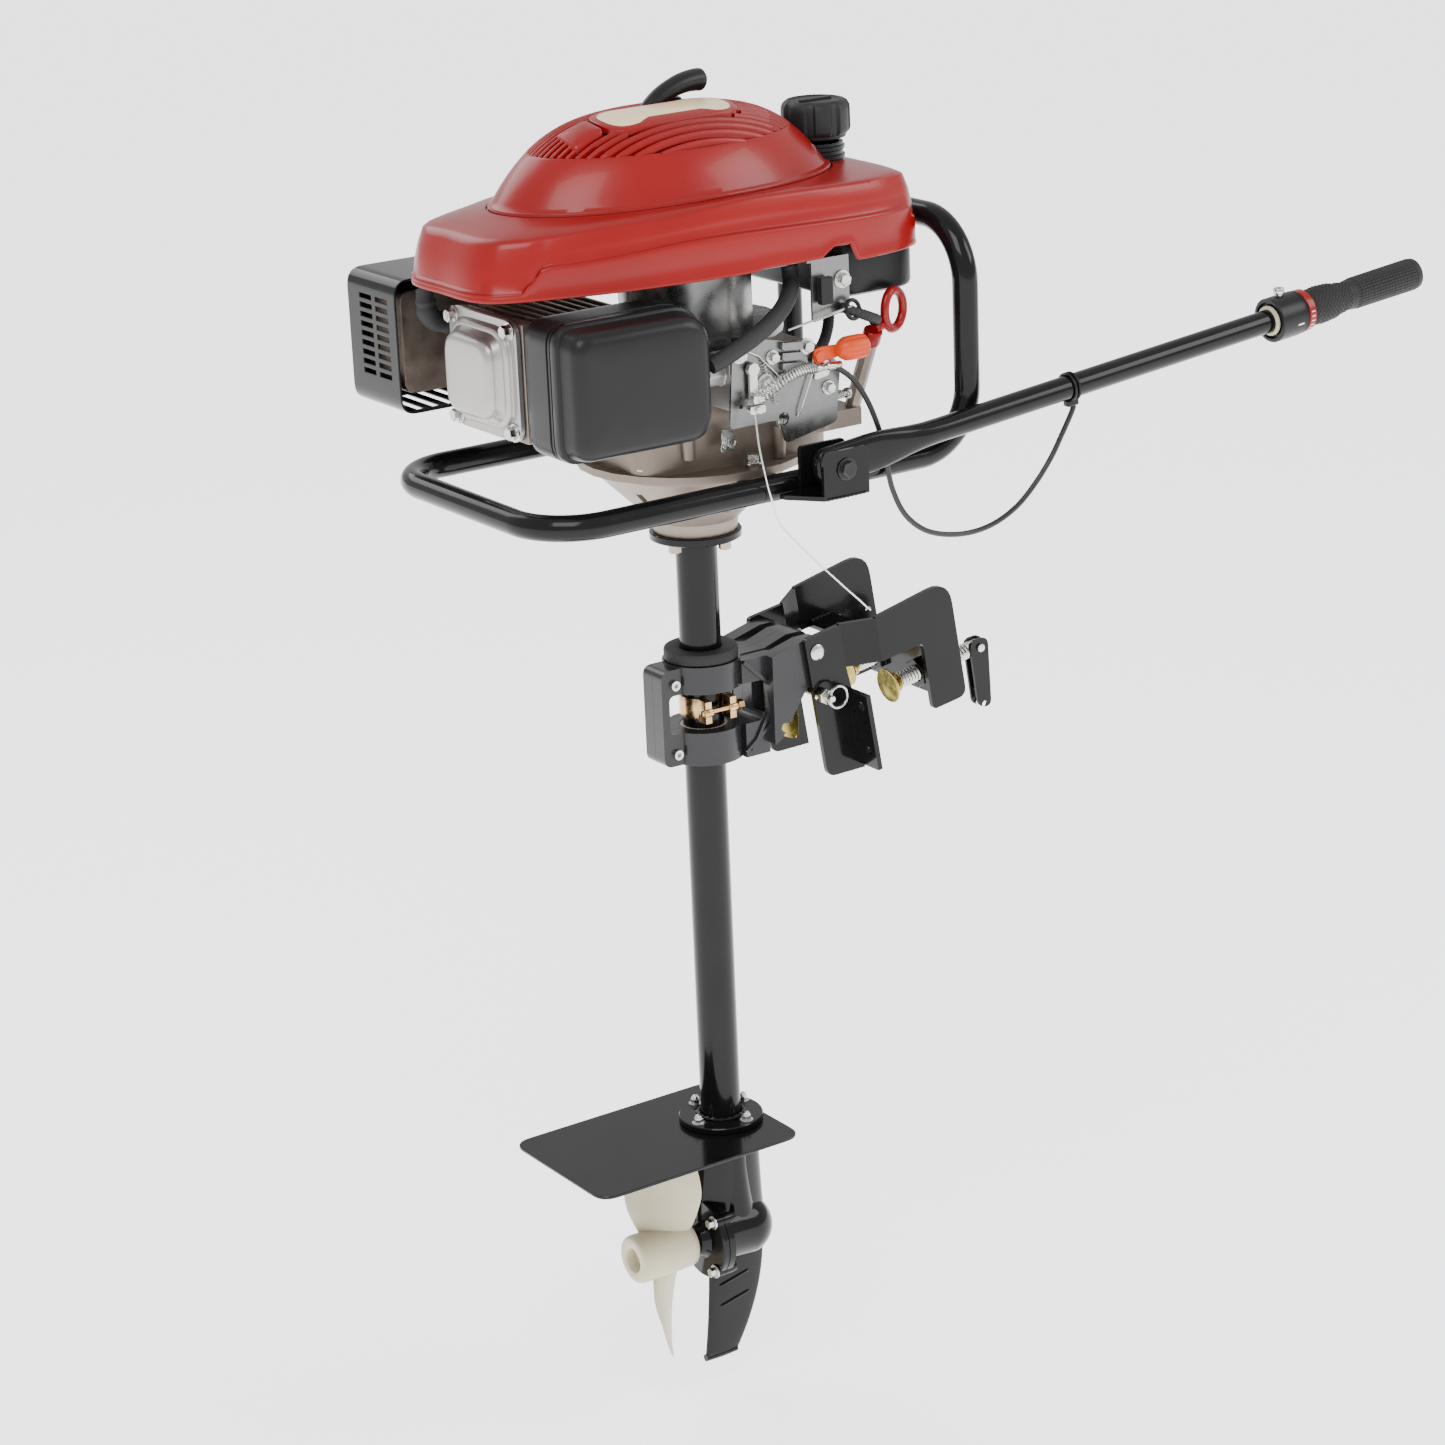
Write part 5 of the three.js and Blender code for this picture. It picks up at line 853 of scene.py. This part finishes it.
# ---- Fuel tank and cap ----------------------------------------------------
# A blow-moulded tank under the front of the cover, its neck ringed with two
# threads, closed by a fluted cap with a raised rim.
piece("fuel_tank_blown", [stack((97, -96, 186, 96), (22, 22, 22, 22), "z",
    [(12, 348), (5, 349), (1.4, 351.4), (0, 355), (0, 378), (0, 407), (1.4, 410.6), (5, 413), (12, 414)]),
    lathe([(0, 409), (24, 409), (24, 456), (25.6, 457), (25.6, 460), (24, 461), (24, 464), (25.4, 465),
    (25.4, 468), (24, 469), (24, 471), (21, 471), (21, 440), (0, 440)], "z", (147, 0, 0), 72)], LEG,
    plastic, node="fuel_tank")
cap_rings = []
for r, z, deep in ((0, 474.6, 0), (23, 474.6, 0), (26.4, 475.4, 0), (27, 476.6, 0), (27, 478, 0),
        (28.8, 479.2, 0.4), (30.4, 481, 1), (31, 483.4, 1), (31, 500, 1), (30.6, 503.4, 1),
        (29, 506.6, 0.7), (26, 508.6, 0.3), (24.4, 508.9, 0), (23.6, 508, 0), (22.6, 507.6, 0),
        (12, 507.8, 0), (0, 508, 0)):
    ring = []
    for k in range(192):
        a = 2 * pi * k / 192
        flute = 2.3 * deep * max(0, min(1, (cos(8 * a) - 0.25) * 2.4))
        ring.append((147 + (r - flute) * cos(a), (r - flute) * sin(a), z))
    cap_rings.append(ring)
cap_bar = prism(rounded([(147 - 17, -3.2), (147 + 17, -3.2), (147 + 17, 3.2), (147 - 17, 3.2)], 3, 5),
    "z", 507.4, 509.8, 0.6)
cap_plastic = surface("textured cap plastic", (0.013, 0.013, 0.014), 0.52, depth=0.035)
piece("fuel_cap_fluted", [loft(cap_rings), cap_bar], LEG, cap_plastic, node="fuel_cap")

# ---- Engine cover ---------------------------------------------------------
# One glossy red moulding: a proud band round the sides, a sloping deck and a
# dome whose top is a grille of lengthwise ribs round a plain cream label pad.
DOME_X, DOME_A, DOME_B, DOME_BASE, DOME_RISE = -19, 165, 92, 456, 67
plan_half = [(-246, 0), (-244, 50), (-221, 76), (-150, 101), (-70, 115), (28, 120), (120, 118),
    (172, 104), (188, 80), (192, 0)]
plan_full = plan_half + [(x, -y) for x, y in plan_half[-2:0:-1]]
plan_line = through([(x, y, 0) for x, y in plan_full + plan_full[:3]], 24)[24:-24]
SPOKES = 240
around = sorted(((math.atan2(p.y / DOME_B, (p.x - DOME_X) / DOME_A) % (2 * pi)), p.x, p.y)
    for p in plan_line[:24 * len(plan_full)])


def blend_at(table, t):
    """The value at t on a table of (t, value) points, joined by smooth steps."""
    if t <= table[0][0]:
        return table[0][1]
    for (t0, v0), (t1, v1) in zip(table, table[1:]):
        if t <= t1:
            k = (t - t0) / (t1 - t0)
            return v0 + (v1 - v0) * k * k * (3 - 2 * k)
    return table[-1][1]


def plan_at(angle):
    angle %= 2 * pi
    before = around[-1][0] - 2 * pi, around[-1][1], around[-1][2]
    for here in around + [(around[0][0] + 2 * pi, around[0][1], around[0][2])]:
        if here[0] >= angle:
            k = (angle - before[0]) / max(here[0] - before[0], 1e-9)
            return before[1] + (here[1] - before[1]) * k, before[2] + (here[2] - before[2]) * k
        before = here
    return before[1], before[2]


def dome_z(x, y):
    r = hypot((x - DOME_X) / DOME_A, y / DOME_B)
    z = DOME_BASE + DOME_RISE * (1 - min(r, 1) ** 3.6)
    return min(z, 473 + 3 * max(0, hypot(x - 147, y) - 33.5)) if x > 100 else z


def cover_section(angle):
    """Points up the outside of the cover at one spoke, rim to grille."""
    px, py = plan_at(angle)
    out = Vector((px - DOME_X, py, 0)).normalized()
    rim = blend_at([(-8, 392), (6, 394)], px)
    if py < 0:
        rim = blend_at([(66, 394), (74, 402.5), (97, 402.5), (105, 387)], px) if px > 66 else rim
    elif px > 66:
        rim = blend_at([(66, 394), (105, 387)], px)
    proud = 3.0 * blend_at([(-209, 0), (-203, 1)], px) * blend_at([(165, 1), (173, 0)], px)
    band = blend_at([(-214, 400), (-207, 408), (-196, 420), (-44, 428), (168, 424), (178, 412)], px)
    edge = blend_at([(-240, 441), (-120, 447), (10, 455), (192, 452)], px)
    base = 452.8 + 3.2 * blend_at([(-240, 0), (10, 1)], px)

    def at(scale, inset, z):
        return (px * scale - out.x * inset, py * scale - out.y * inset, z)
    points = [at(1, 0.4, rim), at(1, -0.5, rim + 0.6), at(1, -0.6, rim + 3.4), at(1, 0, rim + 4.4),
        at(1, 0, (rim + band) / 2), at(1, 0, band - 3), at(1, 0.3, band - 1.6), at(1, 1.1, band - 0.5),
        at(1, 2.2 * proud / 3, band), at(1, proud + 0.3, band + 0.4), at(0.995, proud + 0.8, band + 2)]
    start = Vector(points[-1])
    corner = Vector(at(0.945, proud * 0.6, edge))
    for k in (0.3, 0.6, 0.85, 0.95):
        p = start.lerp(corner, k)
        points.append(tuple(p + out * (2.4 * sin(pi * k) * 0.8) + Vector((0, 0, 0.8 * sin(pi * k)))))
    foot = Vector((DOME_X + (DOME_A + 5) * cos(angle), (DOME_B + 5) * sin(angle), base - 0.6))
    if (foot - Vector((DOME_X, 0, foot.z))).length > (corner - Vector((DOME_X, 0, corner.z))).length - 3:
        foot = Vector((*(corner.xy - out.xy * 3), foot.z))
    for k in (0.06, 0.14, 0.35, 0.65, 0.95, 1):
        p = corner.lerp(foot, k)
        points.append((p.x, p.y, p.z + 1.2 * sin(pi * min(1, k * 1.2)) * (1 if k < 0.83 else 0.3)))
    for grow, rise in ((3.8, -2.4), (2.4, -2.4), (2.9, 0.6), (2.3, 1.9), (0.5, 2.6)):
        points.append((DOME_X + (DOME_A + grow) * cos(angle), (DOME_B + grow) * sin(angle), base + rise))
    for r in (0.985, 0.96, 0.93, 0.895, 0.86, 0.83, 0.805, 0.79, 0.782):
        x, y = DOME_X + DOME_A * r * cos(angle), DOME_B * r * sin(angle)
        points.append((x, y, dome_z(x, y)))
    for r, drop in ((0.776, 0.4), (0.772, 1.4), (0.77, 8)):
        x, y = DOME_X + DOME_A * r * cos(angle), DOME_B * r * sin(angle)
        points.append((x, y, dome_z(x, y) - drop))
    inner = [(DOME_X + (DOME_A * 0.8) * cos(angle), DOME_B * 0.8 * sin(angle),
        dome_z(DOME_X + DOME_A * 0.8, 0) - 9), (DOME_X + (DOME_A - 8) * cos(angle),
        (DOME_B - 6) * sin(angle), base - 1), at(0.93, 5, edge - 5), at(1, 6, band - 2),
        at(1, 3.4, rim + 1)]
    return points + inner


sections_round = [cover_section(2 * pi * k / SPOKES) for k in range(SPOKES)]
cover_points, cover_faces = loft(sections_round, wrap=True)
high_block = rounded([(-126, -32), (-96, -32), (-96, -2), (-126, -2)], 4, 4)
block_rings = [[(x, y, dome_z(x, y) + lift) for x, y in [(-111 + (x + 111) * s, -17 + (y + 17) * s) for x,
    y in high_block]] for lift, s in ((-7, 1), (0.2, 1), (1.6, 0.96), (2.2, 0.88), (2.2, 0.3))]


def rib(y, start, end, width=3.6):
    """One lengthwise rib of the grille, rounded along its top."""
    rings = []
    for k in range(37):
        x = start + (end - start) * k / 36
        z = dome_z(x, y)
        rings.append([(x, y - width / 2, z - 7), (x, y - width / 2, z - 1),
            (x, y - width * 0.36, z - 0.3), (x, y - width * 0.12, z + 0.1),
            (x, y + width * 0.12, z + 0.1), (x, y + width * 0.36, z - 0.3), (x, y + width / 2, z - 1),
            (x, y + width / 2, z - 7)])
    return loft(rings)


LABEL_Y = -17  # the pad sits a little to starboard
LABEL = (-94, LABEL_Y - 27, 44, LABEL_Y + 27)  # x and y of the label pad
ribs = []
for k in range(-11, 12):
    y = k * 6.1
    reach = 0.775 * DOME_A * math.sqrt(max(0, 1 - (y / (0.775 * DOME_B)) ** 2))
    start, end = DOME_X - reach, DOME_X + reach
    off = abs(y - LABEL_Y)
    if off > 27:
        ribs.append(rib(y, start, end))
    else:
        ribs.append(rib(y, LABEL[2] - (14 if off > 20 else 3), end))
        ribs.append(rib(y, start, LABEL[0] + 14 if off > 15 else LABEL[0] - 31))
piece("engine_cover", [(cover_points, cover_faces), loft(block_rings), *ribs], LEG, red, node="shroud",
    sharp=38)


def draped(outline, lift, thick, steps=14):
    """A thin pad laid on the dome inside a rounded outline."""
    x0, y0, x1, y1, corner = outline
    line = rounded([(x0, y0), (x1, y0), (x1, y1), (x0, y1)], corner, 8)
    middle = Vector(((x0 + x1) / 2, (y0 + y1) / 2))
    rings = []
    for s, up in [(1, -4), (1, thick * 0.6), (0.992, thick)] + [(1 - k / steps, thick)
            for k in range(1, steps)]:
        rings.append([(p[0], p[1], dome_z(p[0], p[1]) + lift + up)
            for p in [middle + (Vector(q) - middle) * s for q in line]])
    return loft(rings)


extra("label_pad", [draped((*LABEL, 26), 0.2, 1.0)], red, "red_plastic")
cream = surface("cream label film", (0.83, 0.66, 0.40), 0.32, shade=0.06, depth=0.003, coat=0.3)
extra("blank_label", [draped((-88, LABEL_Y - 22, 38, LABEL_Y + 22, 24), 0.6, 0.9)], cream, "nylon")
# Painted shade: a sheet of darkened red below the grille ribs stands for the shadowed inside of the
# cover, seen through the slots.
painted_slot_shade = surface("dark screen", (0.09, 0.004, 0.004), 0.6, shade=0.2, grain=0.0018)
slot_shade_rings = [[(DOME_X + DOME_A * r * cos(a), DOME_B * r * sin(a),
    dome_z(DOME_X + DOME_A * r * cos(a), DOME_B * r * sin(a)) - drop) for a in turns(96)] for r,
    drop in ((0.785, 9.5), (0.785, 6.5), (0.6, 6.5), (0.4, 6.5), (0.2, 6.5), (0.02, 6.5))]
extra("grille_slot_painted_shade", [loft(slot_shade_rings)], painted_slot_shade, "red_plastic")

# ---- Recoil starter handle ------------------------------------------------
# A curved moulded handle, thick at the rope and drawn out forward, that rests
# on a ring on top of the cover.
grip_line = through([(-30, 14, 511), (-21, 15, 519), (-9, 17, 526.5), (5, 19, 532), (19, 21, 535.5),
    (32, 23, 536.6), (43, 24.5, 536)], 5)
grip_half = [6.6 + 5.4 * (k / 30) ** 0.8 if k < 29 else 11.4 - 2.2 * (k - 29) for k in range(31)]
handle_rings = []
for ring, centre in zip(sweep(grip_line, 1, 36), grip_line):
    i = len(handle_rings)
    wide = max(grip_half[i], 1.6)
    handle_rings.append([centre + (p - centre) * wide * 0.86 for p in ring])
piece("recoil_handle_moulded", [loft(handle_rings), loft(sweep([(12, 26, 490), (12, 25, 528)], 2, 12)),
    lathe([(0, 519), (9, 519.4), (9.6, 521), (8, 523.6), (4, 524.2), (0, 524.2)], "z", (12, 26, 0), 32)],
    LEG, plastic, node="recoil_handle", sharp=50)

# ---- Carrying frame and tiller bracket ------------------------------------
# One bent steel tube round the engine with a hoop at the front, enamelled; a
# folded channel welded to its starboard rail carries the tiller's bolt.


def bent(corners, reach, steps=14):
    """A closed tube line through corners, each bend an arc of the same reach."""
    line = []
    for i, p in enumerate(corners):
        p = Vector(p)
        back = (Vector(corners[i - 1]) - p).normalized()
        ahead = (Vector(corners[(i + 1) % len(corners)]) - p).normalized()
        if abs(back.dot(ahead)) > 0.99:
            line.append(p)
            continue
        middle = p + back * reach + ahead * reach
        for k in range(steps + 1):
            a = pi / 2 * k / steps
            line.append(middle - ahead * reach * cos(a) - back * reach * sin(a))
    return line


frame_line = bent([(-233, 0, 206), (-233, -135, 206), (207, -135, 206), (207, -135, 408), (207, 0, 408),
    (207, 135, 408), (207, 135, 206), (-233, 135, 206)], 55)


def closed_sweep(line, radius, sides):
    """Rings round a closed line, their twist shared out so that the ends meet."""
    count = len(line)
    across, rings = Vector((0, 0, 1)), []
    for i, p in enumerate(line):
        along = (line[(i + 1) % count] - line[i - 1]).normalized()
        across = (across - along * across.dot(along)).normalized()
        rings.append((p, across.copy(), along.cross(across)))
    first, last = rings[0], rings[-1]
    along = (line[1] - line[-1]).normalized()
    carried = (last[1] - along * last[1].dot(along)).normalized()
    gap = math.atan2(carried.dot(first[2]), carried.dot(first[1]))
    made = []
    for i, (p, u, v) in enumerate(rings):
        twist = -gap * i / count
        made.append([p + (u * cos(2 * pi * k / sides + twist) + v * sin(2 * pi * k / sides + twist))
            * radius for k in range(sides)])
    return made


tabs = [prism(rounded([(-20, s * 96), (20, s * 96), (20, s * 127), (-20, s * 127)], 5, 5), "z", 203.2,
    207.7, 0.5) for s in (-1, 1)]
piece("frame_tube_bent", [loft(closed_sweep(frame_line, 11.5, 48), wrap=True), *tabs], LEG, enamel,
    node="frame_tube")
for name, s in (("starboard", -1), ("port", 1)):
    fitting(f"frame_bolt_{name}", bolt("z", (6, s * 108, 203.2), -1, 10, 6))
    weld(f"frame_weld_{name}", [(-20, s * 124, 208), (0, s * 124, 208.6), (20, s * 124, 208)], "motor",
        LEG, 1.8)
dressed("tiller_bracket", enamel, 0.0008)
for k, y in enumerate((-184.6, -148.4)):
    weld(f"channel_weld_{k}", [(14, y, 201.2), (36, y, 201), (58, y, 201.2)], "motor", LEG, 1.7)
bolt_black = surface("black bolt", (0.02, 0.02, 0.021), 0.34, 0.3, shade=0.2, grain=0.0012, depth=0.008,
    wear=(0.12, 0.12, 0.12))
low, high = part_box("tiller_bolt")
bolt_low, bolt_high = low.y * 1000, high.y * 1000
piece("tiller_bolt_turned", [lathe([(0, bolt_high), (3.4, bolt_high), (4, bolt_high - 0.8), (4, -186),
    (0, -186)], "y", (36, 0, 225), 32), prism(hexagon(13, (36, 225), 0.25), "y", -185.7, bolt_low, 0.7),
    lathe([(0, -185.6), (9.6, -185.6), (9.6, -186.8), (0, -186.8)], "y", (36, 0, 225), 36)], LEG,
    bolt_black, node="tiller_bolt")

# ---- Tiller arm -----------------------------------------------------------
# A steel tube flattened at its pivot, with the throttle cable tied to it and
# entering through a slot; a plain spigot carries the twist grip.
stations = [(-19, 12, 6, 0.6), (-17.5, 22, 10, 0.6), (-14, 30, 12.6, 0.6), (-8, 34, 13, 0.6),
    (10, 34, 13, 0.6), (44, 34, 13, 0.6), (66, 30, 15.4, 0.75), (86, 25, 18, 0.9), (110, 22, 22, 1),
    (180, 22, 22, 1), (509, 22, 22, 1)]
arm_rings = []
for x, tall, thick, power in stations:
    arm_rings.append([(x, thick / 2 * math.copysign(abs(cos(a)) ** power, cos(a)),
        tall / 2 * math.copysign(abs(sin(a)) ** power, sin(a))) for a in turns(48)])
arm_columns = [through([ring[j] for ring in arm_rings], 5) for j in range(48)]
arm_skin = [[column[i] for column in arm_columns] for i in range(len(arm_columns[0]))]
piece("tiller_arm_drawn", [loft(arm_skin), lathe([(0, 500), (7.5, 500), (7.5, 674), (6.5, 675), (0, 675)],
    "x", (0, 0, 0), 32)], TILLER, enamel, node="tiller_arm")
tie = [(262, 12.4 * cos(a), 12.4 * sin(a)) for a in turns(60)]
extra("cable_tie", [loft(sweep(tie, 1.3, 8), wrap=True),
    loft(sweep([(x + 4.5, y, z) for x, y, z in tie], 1.3, 8), wrap=True),
    prism(rounded([(258, -4), (271, -4), (271, 4), (258, 4)], 2, 4), "z", -11.5, -17.5, 1)], plastic,
    "black_plastic", "tiller", TILLER)

# ---- Throttle collar and twist grip ---------------------------------------
# A moulded collar clamped to the arm by a screw, a red friction ring with
# setting marks, and a rubber grip knurled in diamonds, then in squares.
C0, C1 = 505, 539
piece("throttle_collar_moulded", [lathe([(11.4, C0 + 1), (14.5, C0 + 1), (15, C0 + 4), (17, C0 + 4),
    (17.4, C0), (20, C0), (21, C0 + 1), (21, C1 - 8), (20.2, C1 - 7), (20.2, C1 - 3), (20.6, C1 - 2),
    (20, C1 - 2), (7.9, C1 - 2), (7.9, C0 + 8), (11.4, C0 + 8), (11.4, C0 + 1)], "x", (0, 0, 0), 96)],
    TILLER, plastic, node="throttle_collar")
fitting("collar_screw", [lathe([(0, 19), (3, 19), (3, 23), (5, 23), (5.2, 24), (5.2, 27), (4.6, 28),
    (1.2, 28), (1.2, 27), (0, 27)], "z", (C0 + 14, 0, 0), 28)], "tiller", TILLER)
extra("clear_sleeve", [lathe([(11.3, C0 - 2), (13.4, C0 - 2), (14, C0 - 1), (14, C0 + 2.5),
    (11.3, C0 + 2.5), (11.3, C0 - 2)], "x", (0, 0, 0), 64)], pale_nylon, "nylon", "tiller", TILLER)
white = surface("white marking", (0.75, 0.75, 0.73), 0.5, shade=0.05, grain=0.0012, depth=0.004)


def mark(x0, x1, radius, middle, half):
    """A raised painted mark on a round body, at an angle in degrees."""
    rows = []
    for x in (x0, x1):
        for r in ((radius - 0.4, radius + 0.12) if x == x0 else (radius + 0.12, radius - 0.4)):
            rows.append([(x, r * cos(radians(middle + half * s)), r * sin(radians(middle + half * s)))
                for s in (-1, -0.5, 0, 0.5, 1)])
    faces, points = [], [p for row in rows for p in row]
    for i in range(4):
        j = (i + 1) % 4
        faces += [(i * 5 + k, i * 5 + k + 1, j * 5 + k + 1, j * 5 + k) for k in range(4)]
    faces += [(0, 5, 10, 15), (4, 19, 14, 9)]
    return points, faces


extra("collar_mark", [mark(C0 + 18, C0 + 25, 21, 195, 2.2)], white, "nylon", "tiller", TILLER)
piece("throttle_ring_moulded", [lathe([(8.1, C1), (19.4, C1), (20, C1 + 0.6), (20, C1 + 7.4),
    (19.4, C1 + 8), (8.1, C1 + 8), (8.1, C1)], "x", (0, 0, 0), 96)], TILLER, red, node="throttle_ring")
extra("ring_marks", [mark(C1 + 2, C1 + 6, 20, 172 + 13 * k, 1.6) for k in range(5)], white, "nylon",
    "grip", TILLER)


def grip_radius(x):
    return blend_at([(547.3, 15.2), (556, 17.4), (566, 18.2), (578, 17.5), (590, 15.2), (600, 13.7),
        (606, 14.4), (612, 15.2), (684, 15.4), (687, 14.8)], x)


grip_rings = []
ROUNDS = 160
for i in range(281):
    x = 547.3 + 141.2 * i / 280
    r = grip_radius(x)
    ring = []
    for k in range(ROUNDS):
        a = 2 * pi * k / ROUNDS
        if x < 599:
            u, v = x / 4.4 + a * 20 / (2 * pi) * 1.0, x / 4.4 - a * 20 / (2 * pi) * 1.0
            high = min(1, 2.2 * abs(sin(pi * u)) * abs(sin(pi * v)))
            deep = 0.95
        elif 606 < x < 682:
            high = min(1, 3.2 * abs(sin(pi * (x - 606) / 3.8)), 3.2 * abs(sin(a * 16)))
            deep = 0.8
        else:
            high, deep = 1, 0
        q = r - deep * (1 - high)
        ring.append((x, q * cos(a), q * sin(a)))
    grip_rings.append(ring)
for r, x in ((14.4, 688.6), (12.4, 689), (11.8, 688.4), (4, 688.2), (0.4, 688.2)):
    grip_rings.append([(x, r * cos(2 * pi * k / ROUNDS), r * sin(2 * pi * k / ROUNDS))
        for k in range(ROUNDS)])
grip_rubber = surface("grip rubber", (0.014, 0.014, 0.015), 0.55, shade=0.2)
piece("throttle_grip_knurled", [loft(grip_rings)], TILLER, grip_rubber, node="throttle_grip", sharp=60)

lows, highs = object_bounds()
({"cad": [list(map(float, c)) for c in cad_box],
    "visual": [list(map(float, c)) for c in (lows, highs)]})
